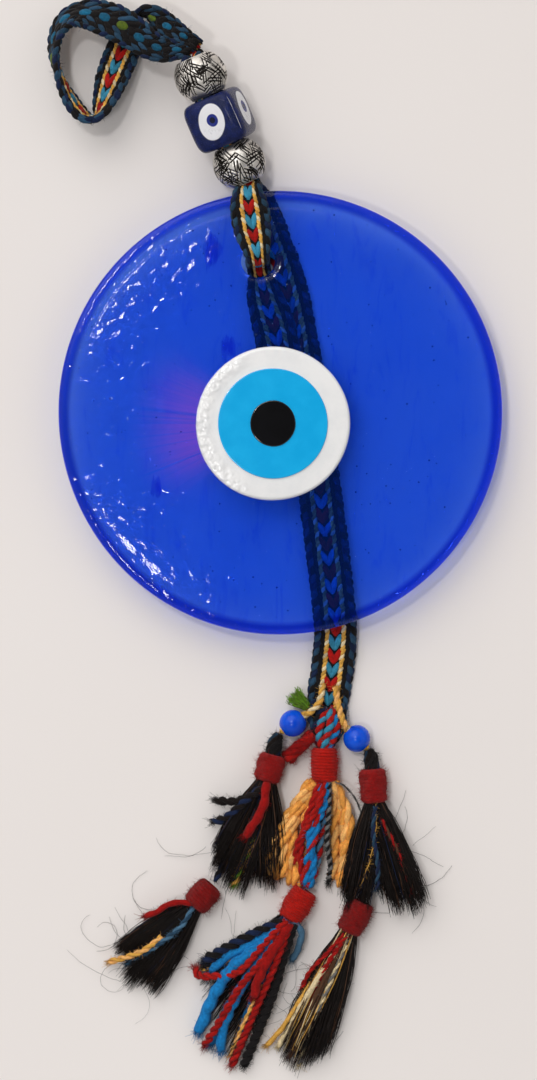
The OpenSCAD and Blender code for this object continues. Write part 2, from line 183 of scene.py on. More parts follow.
def new_piece(name, points, faces, material, body, uv=None, colours=None, values=None, smooth=True):
    """A finished piece: a mesh in metres at the origin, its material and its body.
    faces is a list of index arrays, one array for each number of corners."""
    mesh = bpy.data.meshes.new(name)
    flat = np.asarray(points, np.float32).reshape(-1, 3)
    sizes = np.concatenate([np.full(len(f), f.shape[1]) for f in faces])
    corners = np.concatenate([f.ravel() for f in faces]).astype(np.int32)
    mesh.vertices.add(len(flat))
    mesh.vertices.foreach_set("co", flat.ravel())
    mesh.loops.add(len(corners))
    mesh.loops.foreach_set("vertex_index", corners)
    mesh.polygons.add(len(sizes))
    mesh.polygons.foreach_set("loop_start", np.concatenate([[0], np.cumsum(sizes)[:-1]]).astype(np.int32))
    mesh.polygons.foreach_set("use_smooth", np.full(len(sizes), smooth))
    mesh.update(calc_edges=True)
    if uv is not None:
        layer = mesh.uv_layers.new(name="lay")
        layer.data.foreach_set("uv", np.asarray(uv, np.float32).reshape(-1, 2)[corners].ravel())
    if colours is not None:
        layer = mesh.attributes.new("yarn", "FLOAT_COLOR", "POINT")
        rgba = np.concatenate([np.asarray(colours, np.float32).reshape(-1, 3), np.ones((len(flat), 1))], 1)
        layer.data.foreach_set("color", rgba.astype(np.float32).ravel())
    for label, numbers in (values or {}).items():
        numbers = np.asarray(numbers, np.float32)
        is_vector = numbers.shape[-1] == 3 and numbers.ndim > 1
        kind, field = ("FLOAT_VECTOR", "vector") if is_vector else ("FLOAT", "value")
        mesh.attributes.new(label, kind, "POINT").data.foreach_set(field, numbers.ravel())
    mesh.validate()
    piece = bpy.data.objects.new(name, mesh)
    bpy.context.scene.collection.objects.link(piece)
    mesh.materials.append(material)
    if body:
        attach(piece, body)
    print(f"{name}: {len(flat)} points, {len(sizes)} faces")
    return piece


def frames(paths):
    """Along each path: its direction, a level side and the third direction square to both."""
    along = unit(np.gradient(paths, axis=-2))
    side = np.cross([0.0, 0.0, 1.0], along)
    weak = np.linalg.norm(side, axis=-1, keepdims=True) < 0.05
    side = unit(np.where(weak, [1.0, 0.0, 0.0], side))
    return along, side, np.cross(along, side)


def tubes(paths, radii, sides):
    """Tubes round paths of shape (strand, ring, 3): centre + r (cos a side + sin a up)."""
    paths = np.asarray(paths, float)
    radii = np.broadcast_to(radii, paths.shape[:2])
    _, side, up = frames(paths)
    a = 2 * np.pi * np.arange(sides) / sides
    ring = np.cos(a)[:, None] * side[..., None, :] + np.sin(a)[:, None] * up[..., None, :]
    points = paths[..., None, :] + radii[..., None, None] * ring
    n, rings = paths.shape[:2]
    length = np.concatenate(
        [np.zeros((n, 1)), np.cumsum(np.linalg.norm(np.diff(paths, axis=1), axis=-1), axis=1)], 1
    )
    v = np.broadcast_to(length[..., None], (n, rings, sides))
    u = np.broadcast_to(np.abs(2 * np.arange(sides) / sides - 1)[None, None], (n, rings, sides))
    return points, [grid_faces(n, rings, sides), cap_faces(n, rings, sides)], np.stack([u, v], -1)


def join(parts):
    """Several sets of points, faces, map and colours as one set."""
    points, faces, uv, tone, start = [], [], [], [], 0
    for p, f, m, c in parts:
        points.append(p.reshape(-1, 3))
        faces += [g + start for g in f]
        uv.append(np.asarray(m).reshape(-1, 2))
        tone.append(np.broadcast_to(c, p.shape).reshape(-1, 3))
        start += len(points[-1])
    return np.concatenate(points), faces, np.concatenate(uv), np.concatenate(tone)


def tapered(n, rings, radius, tip=0.35, seed=1):
    """Radii that vary a little from strand to strand and narrow towards the free end."""
    each = radius * random_numbers(seed).uniform(0.75, 1.2, (n, 1))
    return each * (1 - (1 - tip) * np.linspace(0, 1, rings)[None] ** 3)


print("mesh helpers ready")

# %% [markdown]
# ## Finishes written as sums
# A finish is a small network of shader nodes. Linking those by hand hides what they work out,
# so `Wire` wraps a socket and lets Python's own signs add the Math nodes: `1 - mask` is then a
# real node that takes the mask from one. `Finish` holds one material and adds any other node.

# %% Wires and finishes
class Wire:
    """An output socket that can be added, multiplied and so on."""

    def __init__(self, finish, socket):
        self.finish, self.socket = finish, socket

    def sum(self, operation, first, second):
        node = self.finish.node("ShaderNodeMath", {"operation": operation}, {0: first, 1: second})
        return Wire(self.finish, node.outputs[0])

    def __add__(self, other): return self.sum("ADD", self, other)
    def __radd__(self, other): return self.sum("ADD", other, self)
    def __sub__(self, other): return self.sum("SUBTRACT", self, other)
    def __rsub__(self, other): return self.sum("SUBTRACT", other, self)
    def __mul__(self, other): return self.sum("MULTIPLY", self, other)
    def __rmul__(self, other): return self.sum("MULTIPLY", other, self)
    def __truediv__(self, other): return self.sum("DIVIDE", self, other)
    def __pow__(self, other): return self.sum("POWER", self, other)
    def below(self, other): return self.sum("MINIMUM", self, other)


class Finish:
    """One material: a Principled shader and the nodes that feed it."""

    def __init__(self, name, **settings):
        self.material = bpy.data.materials.new(name)
        self.material.use_nodes = True
        self.tree = self.material.node_tree
        self.shader = self.tree.nodes["Principled BSDF"]
        for label, value in settings.items():
            self.feed(label.replace("_", " ").title().replace("Ior", "IOR"), value)

    def feed(self, label, value):
        """Gives one of the shader's sockets a plain value or a wire."""
        socket = self.shader.inputs[label]
        if isinstance(value, Wire):
            self.tree.links.new(value.socket, socket)
        else:
            socket.default_value = (*value, 1) if socket.type == "RGBA" else value

    def node(self, kind, settings=None, inputs=None):
        """Any node: its settings first, then a value or a wire for each named or numbered socket."""
        node = self.tree.nodes.new(kind)
        for label, value in (settings or {}).items():
            setattr(node, label, value)
        for label, value in (inputs or {}).items():
            socket = node.inputs[label]
            if isinstance(value, Wire):
                self.tree.links.new(value.socket, socket)
            elif value is not None:
                socket.default_value = (*value, 1) if socket.type == "RGBA" and len(value) == 3 else value
        return node

    def wire(self, node, output=0):
        return Wire(self, node.outputs[output])

    def place(self):
        """Object coordinates, in metres in the shared frame."""
        return self.wire(self.node("ShaderNodeTexCoord"), "Object")

    def surface(self):
        """The piece's own map: across the strand, and along it in millimetres."""
        return self.wire(self.node("ShaderNodeUVMap", {"uv_map": "lay"}), 0)

    def attribute(self, name, output="Fac"):
        return self.wire(self.node("ShaderNodeAttribute", {"attribute_name": name}), output)

    def scaled(self, vector, scale, offset=(0, 0, 0)):
        """A vector with each of its parts multiplied, and then moved."""
        grown = self.node("ShaderNodeVectorMath", {"operation": "MULTIPLY_ADD"},
                          {0: vector, 1: scale, 2: offset})
        return self.wire(grown, 0)

    def parts(self, vector):
        split = self.node("ShaderNodeSeparateXYZ", {}, {0: vector})
        return [self.wire(split, k) for k in range(3)]

    def noise(self, vector, scale, detail=3.0, roughness=0.5, distortion=0.0):
        made = self.node(
            "ShaderNodeTexNoise", {},
            {"Vector": vector, "Scale": scale, "Detail": detail, "Roughness": roughness,
             "Distortion": distortion},
        )
        return self.wire(made, 0)

    def specks(self, vector, scale, feature="F1"):
        """Distance to the nearest of many scattered points."""
        return self.wire(self.node("ShaderNodeTexVoronoi", {"feature": feature},
                                   {"Vector": vector, "Scale": scale}), 0)

    def remap(self, value, low, high, to_low=0.0, to_high=1.0, smooth=True):
        """A value carried from one range to another and held inside it."""
        node = self.node(
            "ShaderNodeMapRange", {"interpolation_type": "SMOOTHSTEP" if smooth else "LINEAR"},
            {0: value, 1: low, 2: high, 3: to_low, 4: to_high},
        )
        return self.wire(node, 0)

    def mix(self, mask, first, second):
        """Two colours blended by a mask."""
        node = self.node("ShaderNodeMix", {"data_type": "RGBA"}, {0: mask, 6: first, 7: second})
        return self.wire(node, 2)

    def tinted(self, colour, amount):
        """A colour with every part multiplied by a number that varies."""
        grey = self.node("ShaderNodeCombineXYZ", {}, {0: amount, 1: amount, 2: amount})
        node = self.node("ShaderNodeVectorMath", {"operation": "MULTIPLY"}, {0: colour, 1: self.wire(grey)})
        return self.wire(node)

    def bump(self, height, distance, strength=1.0, under=None):
        """A height, in metres when strength is one, turned into a normal."""
        node = self.node(
            "ShaderNodeBump", {}, {"Height": height, "Distance": distance, "Strength": strength}
        )
        if under is not None:
            self.tree.links.new(under.socket, node.inputs["Normal"])
        return self.wire(node)


print("finishes ready")


# %% Colours
def srgb(red, green, blue):
    """A colour picked on a 0 to 255 screen scale, turned into linear light."""
    c = np.array([red, green, blue]) / 255
    return tuple(float(x) for x in np.where(c <= 0.04045, c / 12.92, ((c + 0.055) / 1.055) ** 2.4))


YARN = {
    "black": srgb(20, 17, 18),
    "slate": srgb(38, 68, 92),
    "teal": srgb(22, 92, 124),
    "sky": srgb(56, 140, 172),
    "red": srgb(168, 18, 12),
    "gold": srgb(222, 168, 76),
    "cream": srgb(228, 208, 165),
    "green": srgb(92, 112, 34),
    "navy": srgb(20, 34, 66),
}
print("yarn colours:", ", ".join(YARN))

# %% [markdown]
# ## The table
# The table is only a stage, so it is one large plane with a faint mottled grain. It stays pale
# and rough, which lets the soft shadows of the loop and the tassels show.

# %% Table
def make_table():
    """The pale table top's finish: a faint slow change of tone and nothing else."""
    finish = Finish("pale_table", roughness=0.55)
    grain = finish.noise(finish.place(), 5.0, 2.0)
    finish.feed("Base Color", finish.mix(grain, srgb(236, 231, 228), srgb(229, 223, 220)))
    finish.feed("Specular IOR Level", 0.2)
    half = 2.0
    corners = np.array([[-half, -half, 0], [half, -half, 0], [half, half, 0], [-half, half, 0]])
    mesh = bpy.data.meshes.new("table")
    mesh.from_pydata(corners.tolist(), [], [[0, 1, 2, 3]])
    mesh.materials.append(finish.material)
    table = bpy.data.objects.new("table", mesh)
    bpy.context.scene.collection.objects.link(table)
    return table


table = make_table()

# %% [markdown]
# ## Cobalt glass
# The plate is poured and pressed, so its top is never quite flat: it dips towards a rounded rim
# and carries low ripples that bend whatever lies behind it. The plate is a grid that wraps
# both ways: one direction goes round, and the other goes from the hole out over the top, round
# the rim and back along the underside. The hole isn't in the middle, so each row blends from
# the hole's circle to the rim's circle.

# %% Plate
PLATE_R, PLATE_LOW, PLATE_HIGH = 65.3, 5.3, 11.3
HOLE = np.array([-6.5, 44.5])
HOLE_R = 5.0
EYE = np.array([-2.1, -3.4])


def ripple(x, y, seed, waves=26, low=9.0, high=26.0):
    """Low waves on poured glass: a sum of sines with random directions and lengths, from -1 to 1."""
    rng = random_numbers(seed)
    total = np.zeros_like(x)
    for _ in range(waves):
        a, length, phase = rng.uniform(0, np.pi), rng.uniform(low, high), rng.uniform(0, 2 * np.pi)
        total += length * np.sin(2 * np.pi * (x * np.cos(a) + y * np.sin(a)) / length + phase)
    return total / (waves**0.5 * high)


def glass_plate():
    """Top: z = high - dip(r) + ripples. Rim: half a squarish ellipse, sides sin^p and cos^p with
    p = 0.6. Underside: z = low + ripples."""
    turns = 440
    a = 2 * np.pi * np.arange(turns) / turns
    circle = np.stack([np.cos(a), np.sin(a)], -1)
    out = np.linspace(0, 1, 96)
    flat_r = PLATE_R - 3.0
    near, far = HOLE + HOLE_R * circle, flat_r * circle
    level = near[None] + out[:, None, None] * (far - near)[None]
    x, y = level[..., 0], level[..., 1]
    r = np.hypot(x, y)
    dip = 0.9 * np.clip((r - 36) / 26, 0, 1) ** 2.0
    soft_hole = 0.5 * np.exp(-((np.hypot(x - HOLE[0], y - HOLE[1]) - HOLE_R) / 0.9) ** 2)
    left = 0.5 - 0.5 * np.tanh((x + 5) / 22)
    chop = ripple(x, y, 5, 70, 2.4, 6.0)
    band = np.exp(-(((r - 47) / 11) ** 2)) * left
    top = (PLATE_HIGH - dip - soft_hole + 0.05 * ripple(x, y, 3) + 0.075 * band * chop
           - 0.1 * np.exp(-(((r - 60.2) / 0.45) ** 2)))
    bottom = PLATE_LOW + 0.25 * soft_hole + 0.03 * (1 + ripple(x, y, 8))
    t = np.linspace(0, np.pi, 22)[1:-1]
    reach = flat_r + (3.0 + 0.10 * np.sin(3 * a + 1)[:, None]) * np.sin(t) ** 0.6
    start, end = top[-1], bottom[-1]
    rise = (0.5 + 0.5 * np.sign(np.cos(t)) * np.abs(np.cos(t)) ** 0.6)[:, None]
    rim_z = end[None] + (start - end)[None] * rise
    rim = np.concatenate([reach.T[..., None] * circle[None], rim_z[..., None]], -1)
    points = np.concatenate(
        [
            np.concatenate([level, top[..., None]], -1),
            rim,
            np.concatenate([level, bottom[..., None]], -1)[::-1],
        ]
    )
    return points


def make_glass_finish():
    """Clear cobalt glass: the colour is in the body and in three flecks. The deeper blue at the rim is
    painted light, the lilac fan left of the eye is a painted reflection, and a faint emission is a painted
    glow.
    """
    # The faint blue emission is a painted glow that brightens the glass; the glass is no lamp.
    finish = Finish("cobalt_glass", roughness=0.05, ior=1.3, transmission_weight=1.0,
                    emission_strength=0.022)
    finish.feed("Emission Color", srgb(20, 110, 255))
    place = finish.place()
    centre = finish.scaled(place, (1000, 1000, 1000), (-1.8, -36.2, 0))
    x, y, _ = finish.parts(centre)
    r = (x * x + y * y) ** 0.5
    cloud = finish.noise(centre, 0.045, 4.0, 0.6)
    streak = finish.noise(finish.scaled(centre, (1, 0.25, 1)), 0.22, 5.0, 0.62, 1.2)
    body = finish.mix(finish.remap(cloud, 0.3, 0.7), srgb(98, 152, 255), srgb(108, 158, 255))
    body = finish.mix(finish.remap(streak, 0.54, 0.72, 0, 0.5), body, srgb(56, 92, 255))
    # Painted reflection: a streaked lilac fan left of the eye, put into the glass's base colour.
    ex, ey = x - float(EYE[0]) + 0.0, y - float(EYE[1])
    around = finish.node("ShaderNodeMath", {"operation": "ARCTAN2"}, {0: ey, 1: ex * -1.0})
    fan = finish.noise(finish.scaled(finish.wire(around), (1, 1, 1)), 14.0, 4.0, 0.7)
    eye_r = (ex * ex + ey * ey) ** 0.5
    side = finish.remap(finish.wire(around) * finish.wire(around), 0.0, 0.55, 1.0, 0.0)
    painted_reflection = finish.remap(eye_r, 23.0, 44.0, 1.0, 0.0) * side * finish.remap(ex, -10.0, -20.0)
    painted_reflection = (painted_reflection * finish.remap(fan, 0.30, 0.56)).below(1.0)
    body = finish.mix(painted_reflection * 0.9, body, srgb(214, 158, 255))
    # Painted light: the saturated deeper blue near the rim stands in for light carried inside the glass to
    # its edge.
    deep = finish.remap(r, 61.0, 63.2)
    body = finish.mix(deep, body, srgb(40, 76, 232))
    for fleck_x, fleck_y, wide, tall in ((-15.0, 19.5, 2.2, 3.4), (-19.6, 48.0, 2.0, 4.6),
                                         (-36.0, -22.0, 1.6, 2.6)):
        spot = (((x - fleck_x) / wide) ** 2 + ((y - fleck_y) / tall) ** 2) ** 0.5 + (streak - 0.5) * 5.0
        body = finish.mix(finish.remap(spot, 0.6, 1.1, 0.7, 0.0), body, srgb(30, 40, 236))
    finish.feed("Base Color", body)
    fine = finish.noise(finish.scaled(centre, (1, 1, 1)), 0.30, 2.0, 0.45, 0.6)
    pores = finish.remap(finish.specks(centre, 0.55), 0.0, 0.16, 1.0, 0.0)
    finish.feed("Normal", finish.bump(fine * 0.16 + pores * 0.04, 0.0011))
    return finish.material


glass_finish = make_glass_finish()
plate_points = glass_plate()[::-1]
glass_plate_piece = new_piece(
    "glass_plate", placed(plate_points), [grid_faces(1, *plate_points.shape[:2], close_rows=True)],
    glass_finish, "disc",
)
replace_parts(glass_plate_piece, "glass_disc")

# %% [markdown]
# Small gas bubbles stay in poured glass. Each is a tiny round hollow, made here as one batch of
# spheres spread evenly inside the plate.

# %% Bubbles in the glass
def spheres(centres, radii, rings=7, sides=8):
    """Round closed balls: rings of sides at heights r cos t, closed with small caps."""
    t = np.linspace(0.12, np.pi - 0.12, rings)[::-1]
    a = 2 * np.pi * np.arange(sides) / sides
    ball = np.stack(
        [np.sin(t)[:, None] * np.cos(a), np.sin(t)[:, None] * np.sin(a),
         np.cos(t)[:, None] * np.ones(sides)], -1
    )
    points = centres[:, None, None] + radii[:, None, None, None] * ball[None]
    return points, [grid_faces(len(centres), rings, sides), cap_faces(len(centres), rings, sides)]


def make_bubbles():
    """Tiny spheres spread evenly over the plate, kept clear of the eye and of the hole."""
    rng = random_numbers(21)
    n = 190
    r = 61 * np.sqrt(rng.uniform(0, 1, n))
    a = rng.uniform(0, 2 * np.pi, n)
    spots = np.stack([r * np.cos(a), r * np.sin(a), rng.uniform(6.6, 10.0, n)], -1)
    clear = (np.hypot(spots[:, 0] - EYE[0], spots[:, 1] - EYE[1]) > 25) & (
        np.hypot(spots[:, 0] - HOLE[0], spots[:, 1] - HOLE[1]) > 7
    )
    spots = spots[clear]
    points, faces = spheres(spots, rng.uniform(0.10, 0.26, len(spots)))
    finish = Finish("bubble_in_glass", roughness=0.05, base_color=srgb(20, 40, 190), ior=1.02,
                    transmission_weight=0.6)
    return new_piece("glass_bubbles", placed(points), faces, finish.material, "disc")


make_bubbles()

# %% [markdown]
# ## The layered eye
# The eye is three puddles of opaque glass dropped on each other while soft: white, light blue
# and black. Each is a low dome with a rounded, slightly uneven edge. A turned profile gives the
# dome, and a few slow waves round the edge make it hand-made. The profile closes on the axis,
# and the last ring is so small that a cap closes it.

# %% Glass puddles
def puddle(centre, diameter, low, high, crown, wobble, seed, edge=0.9, rings=26, sides=200):
    """Radius R(a) = d/2 + slow waves. Profile: up the side, over a rounded edge, then
    z = high + crown (1 - (r/R)^2)."""
    rng = random_numbers(seed)
    a = 2 * np.pi * np.arange(sides) / sides
    wave = sum(rng.uniform(0.4, 1) * np.sin(k * a + rng.uniform(0, 6)) / k for k in (2, 3, 5, 7))
    big = diameter / 2 + wobble * wave
    t = np.linspace(0, np.pi / 2, 9)
    out = np.concatenate([[0.002, 0.6, 1 - 0.4 / (diameter / 2)], np.ones(2),
                          1 - edge * (1 - np.cos(t)) / (diameter / 2)])
    inner = np.linspace(1 - edge / (diameter / 2), 0.002, rings)[1:]
    out = np.concatenate([out, inner])
    height = np.concatenate(
        [[low, low, low], [low + 0.1, high - edge], high - edge + edge * np.sin(t),
         np.full(len(inner), high)]
    )
    dome = crown * np.clip(1 - (out / (1 - edge / (diameter / 2))) ** 2, 0, 1)
    dome[:5] = 0
    r = out[:, None] * big[None]
    x, y = centre[0] + r * np.cos(a), centre[1] + r * np.sin(a)
    z = (height + dome)[:, None] + 0 * x
    z[5:] += (0.02 * ripple(x[5:], y[5:], seed + 4, low=5, high=14)
              * np.clip((1 - out[5:]) * 8, 0, 1)[:, None])
    points = np.stack([x, y, z], -1)
    return points, [grid_faces(1, len(out), sides), cap_faces(1, len(out), sides)]


def opal_finish(name, colour, other, roughness=0.12, left_ripple=0.0):
    """Smooth opaque glass with a faint cloud of a second tone and a glossy coat."""
    finish = Finish(name, roughness=roughness, coat_weight=0.6, coat_roughness=0.04, ior=1.5)
    centre = finish.scaled(finish.place(), (1000, 1000, 1000), (-1.8, -36.2, 0))
    cloud = finish.noise(centre, 0.14, 4.0, 0.6)
    finish.feed("Base Color", finish.mix(finish.remap(cloud, 0.35, 0.7), colour, other))
    if left_ripple:
        x, y, _ = finish.parts(centre)
        ex, ey = x - float(EYE[0]), y - float(EYE[1])
        ring = finish.remap((ex * ex + ey * ey) ** 0.5, 17.0, 20.5) * finish.remap(ex, -4.0, -12.0)
        wave = finish.noise(finish.scaled(centre, (1, 1, 1)), 0.55, 1.5, 0.4)
        finish.feed("Normal", finish.bump(wave * ring * left_ripple, 0.001))
    return finish.material


white_finish = opal_finish("white_glass", srgb(240, 240, 240), srgb(232, 233, 234), 0.14, 0.9)
light_blue_finish = opal_finish("light_blue_glass", srgb(10, 168, 230), srgb(20, 176, 236), 0.16)
black_finish = opal_finish("black_glass", srgb(8, 8, 10), srgb(12, 12, 15), 0.10)

eye_layers = [
    ("eye_white_puddle", "eye_white", 45.2, 10.4, 12.7, 0.45, 0.22, 31, 1.1, white_finish, "white_glass"),
    ("eye_blue_puddle", "eye_light_blue", 32.2, 12.6, 13.35, 0.12, 0.12, 37, 0.25, light_blue_finish,
     "light_blue_glass"),
    ("eye_black_puddle", "eye_pupil", 13.4, 13.2, 13.85, 0.12, 0.12, 41, 0.3, black_finish, "black_glass"),
]
for name, node, size, low, high, crown, wobble, seed, edge, finish, slot in eye_layers:
    points, faces = puddle(EYE, size, low, high, crown, wobble, seed, edge)
    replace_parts(new_piece(name, placed(points), faces, finish, "disc"), node)

# %% [markdown]
# ## The route of the braid
# One flat braid does all the carrying. Its front leg comes from behind the plate up through the
# hole and over the rim, both legs pass through the beads as a squeezed pair, and the loop folds
# back over itself. Each row gives a place, a width, a thickness, a heading and a roll, and a
# smooth curve passes through the rows. A braid could be an array of one modelled stitch bent
# along a curve. Working the stitches out on the curve keeps them whole where it turns tightly.

# %% Beads' line and braid rows
STRAP_T = 2.4
FRONT_Z = PLATE_HIGH
SILVER_D, SILVER_L, CUBE_W, CUBE_L, BORE = 15.6, 12.0, 16.5, 15.0, 9.4
CHAIN_HEADING, CHAIN_SLOPE = 114.1, 8.3
flat = np.cos(np.radians(CHAIN_SLOPE))
CHAIN = np.array([*(flat * heading(CHAIN_HEADING))[:2], np.sin(np.radians(CHAIN_SLOPE))])
CHAIN_LEFT = np.array([-np.sin(np.radians(CHAIN_HEADING)), np.cos(np.radians(CHAIN_HEADING)), 0])
CHAIN_UP = np.cross(CHAIN, CHAIN_LEFT)
CUBE_S = SILVER_L + 0.34 + CUBE_L / 2
UPPER_S = CUBE_S + CUBE_L / 2 + 0.34 + SILVER_L / 2
CHAIN_END = UPPER_S + SILVER_L / 2
cube_z = CUBE_W * 0.63 * flat + 0.3 * CUBE_L * CHAIN[2] + 0.2
CHAIN_START = np.array([-9.6, 67.8, cube_z - CUBE_S * CHAIN[2]])


def on_chain(s):
    return CHAIN_START + np.multiply.outer(s, CHAIN)


def pair_rows(side, turned):
    """The two legs inside the beads lie face to face and make a quarter turn about the line."""
    s = np.linspace(-1.4, CHAIN_END, 9)
    turn = 90 * s / CHAIN_END
    off = BORE * 0.37 / 2 + 0.25
    c, w = np.cos(np.radians(turn))[:, None], np.sin(np.radians(turn))[:, None]
    place = on_chain(s) + side * off * (c * CHAIN_UP + w * CHAIN_LEFT)
    wide, thick = np.full(9, BORE * 0.7), np.full(9, BORE * 0.37)
    rows = np.column_stack([place, wide, thick, np.full(9, CHAIN_HEADING), -turn])
    if turned:
        rows = rows[::-1].copy()
        rows[:, 5] += 180
        rows[:, 6] *= -1
    return rows


over = FRONT_Z + STRAP_T / 2 + 0.4
tail = STRAP_T * 1.5 + 0.15
hx, hy, mid = HOLE[0], HOLE[1], (PLATE_LOW + PLATE_HIGH) / 2
FRONT_ROWS = np.array([
    [1.5, 9, tail, 12, 2.4, 100, 0], [-1.5, 24, tail, 12, 2.4, 101, 0], [-4.4, 34, tail, 10.2, 2.4, 103, 0],
    [hx + 0.5, hy - 3.2, tail, 6.8, 2.4, 100, 0], [hx + 0.1, hy - 0.8, tail + 0.4, 6.8, 2.6, 100, 0],
    [hx, hy, mid - 2, 6.8, 2.8, 100, 0], [hx, hy, mid + 2, 6.8, 2.8, 100, 0],
    [hx - 0.1, hy + 0.9, over - 0.5, 6.8, 2.6, 100, 0], [hx - 0.5, hy + 3.4, over + 0.4, 8, 2.4, 100, 0],
    [-8.1, hy + 9, over, 10.4, 2.4, 101, 0], [-9.1, hy + 16, over, 10.6, 2.4, 100, 0],
    [-9.4, hy + 20.3, over - 0.15, 8.16, 2.4, 101, 0],
])
back, lift = STRAP_T / 2 + 0.1, PLATE_LOW - 0.3 - STRAP_T / 2
BACK_ROWS = np.array([
    [-8.6, hy + 21, 3.4, 8.4, 2.8, 280, 0], [-6.6, hy + 16.5, back + 0.5, 10.8, 2.4, 285, 0],
    [-4.2, hy + 9, back, 12, 2.4, 287, 0], [0.9, hy - 5, back, 12, 2.4, 286, 0],
    [4.4, 24.5, back, 12, 2.4, 284, 0], [8.4, 0, back, 12, 2.4, 281, 0],
    [10.8, -16, lift - 0.3, 12, 2.4, 279, 0], [13.6, -38, lift, 12, 2.4, 279, 0],
    [16, -58, lift, 12, 2.4, 277, 0], [16.4, -66, lift - 0.8, 12, 2.4, 268, 0],
    [15.6, -75, back + 0.2, 12, 2.4, 262, 0], [14.2, -86, back, 11.4, 2.4, 262, 0],
    [13.3, -97, back, 7.2, 2.4, 265, 0],
])
BEND = on_chain(CHAIN_END + 3)
LOOP_ROWS = np.array([
    [-2.6, -0.9, 0, 4.6, 3.6, 137, -180], [-7.6, -0.6, -0.9, 7, 3, 140, -180],
    [-12.6, 1.9, -2, 8.5, 2.4, 143, -180], [-18.2, 6.1, -3.2, 10, 2.4, 147, -175],
    [-24.4, 9.4, -5.4, 11, 2.4, 160, -160], [-30.4, 11, -7, 11, 2.4, 180, -142],
    [-35.8, 9.6, -7.2, 11, 2.4, 215, -125], [-39, 4.8, -7.2, 11, 2.4, 250, -112],
    [-39.6, -1.4, -7.2, 11, 2.4, 272, -100], [-37.6, -8.8, -7.3, 11, 2.4, 290, -84],
    [-34.6, -14.6, -7.6, 11, 2.4, 300, -72], [-31.6, -18.4, -7.8, 11, 2.4, 315, -72],
    [-28.8, -19.9, -7.8, 11, 2.4, 355, -80], [-26.2, -18.2, -7.8, 11, 2.4, 410, -72],
    [-24.6, -13.6, -8.4, 11, 2.4, 431, -50], [-22.6, -7, -9.4, 11, 2.4, 433, -30],
    [-20.2, -0.4, -10.5, 10.5, 2.4, 430, -18], [-18, 5.2, -10.9, 9.5, 2.4, 426, -14],
    [-16, 9.4, -10, 8, 2.4, 415, -45], [-13.4, 11.2, -8, 7.5, 2.4, 365, -95],
    [-10.2, 9.8, -5.6, 7.5, 2.4, 330, -140], [-5.6, 6.2, -2.6, 7, 3, 320, -180],
    [0.6, 1.9, 0, 4.6, 3.6, 317, -180],
])
LOOP_ROWS[:, :3] += BEND
front_rows = np.concatenate([FRONT_ROWS, pair_rows(1, False)])
back_rows = np.concatenate([pair_rows(-1, True), BACK_ROWS])
print("braid rows:", len(front_rows), len(back_rows), len(LOOP_ROWS))


# %% Braid curve
class Route:
    """A braid's middle line, sampled every half millimetre, with its width and thickness directions."""

    def __init__(self, rows):
        """Catmull-Rom through all seven values, then evenly spaced by length."""
        p = np.concatenate([rows[:1], rows, rows[-1:]])
        u = np.linspace(0, 1, 24, endpoint=False)[:, None]
        pieces = []
        for a, b, c, d in zip(p[:-3], p[1:-2], p[2:-1], p[3:]):
            pieces.append(0.5 * (2 * b + (c - a) * u + (2 * a - 5 * b + 4 * c - d) * u**2
                                 + (3 * b - a - 3 * c + d) * u**3))
        dense = np.concatenate([*pieces, rows[-1:]])
        s = np.concatenate([[0], np.cumsum(np.linalg.norm(np.diff(dense[:, :3], axis=0), axis=1))])
        self.length = s[-1]
        self.s = np.linspace(0, self.length, int(self.length / 0.5) + 1)
        even = np.column_stack([np.interp(self.s, s, dense[:, k]) for k in range(7)])
        self.line = even[:, :3]
        along = unit(np.gradient(self.line, axis=0))
        h, roll = np.radians(even[:, 5]), np.radians(even[:, 6])[:, None]
        side = np.stack([-np.sin(h), np.cos(h), 0 * h], -1)
        rise = unit(np.cross(along, side))
        across = unit(np.cross(rise, along))
        self.along = along
        self.wide = np.cos(roll) * across + np.sin(roll) * rise
        self.thick = np.cross(along, self.wide)
        self.width, self.depth = even[:, 3], even[:, 4]

    def at(self, s, u, w):
        """line(s) + u width/12 wide(s) + w depth/2.4 thick(s); past an end it goes straight on."""
        inside = np.clip(s, 0, self.length)
        pick = lambda values: np.stack([np.interp(inside, self.s, values[:, k]) for k in range(3)], -1)
        grow = np.interp(inside, self.s, self.width)[..., None] / 12
        deep = np.interp(inside, self.s, self.depth)[..., None] / 2.4
        return (
            pick(self.line) + u[..., None] * grow * unit(pick(self.wide)) + w[..., None] * deep
            * unit(pick(self.thick))
            + (s - inside)[..., None] * unit(pick(self.along))
        )


front_route, back_route, loop_route = Route(front_rows), Route(back_rows), Route(LOOP_ROWS)
for label, route in (("front leg", front_route), ("back leg", back_route), ("loop", loop_route)):
    print(label, "is", round(route.length), "mm long")

# %% [markdown]
# ## Stitches of the braid
# Looked at closely, the braid is columns of short plump stitches. On the patterned face a chain
# of red and light blue V's runs down the middle, with a twisted gold cord, a black column and a
# slate-blue twisted edge on either side. On the back, teal ovals sit in a row between slate
# yarns. Each stitch is a closed spindle laid on the braid's own (along, across, through)
# coordinates, so it bends with the braid. Under them a flat black core closes every gap.

# %% Stitches
def spindle(rings=7, sides=8):
    """A closed spindle one long and one wide: radius sin(pi x)^0.6 at x along its length."""
    x = np.linspace(0.03, 0.97, rings)
    r = np.sin(np.pi * x) ** 0.55
    a = 2 * np.pi * np.arange(sides) / sides
    along = np.broadcast_to((x - 0.5)[:, None], (rings, sides))
    return along, r[:, None] * np.cos(a), r[:, None] * np.sin(a)


SPINDLE = spindle()


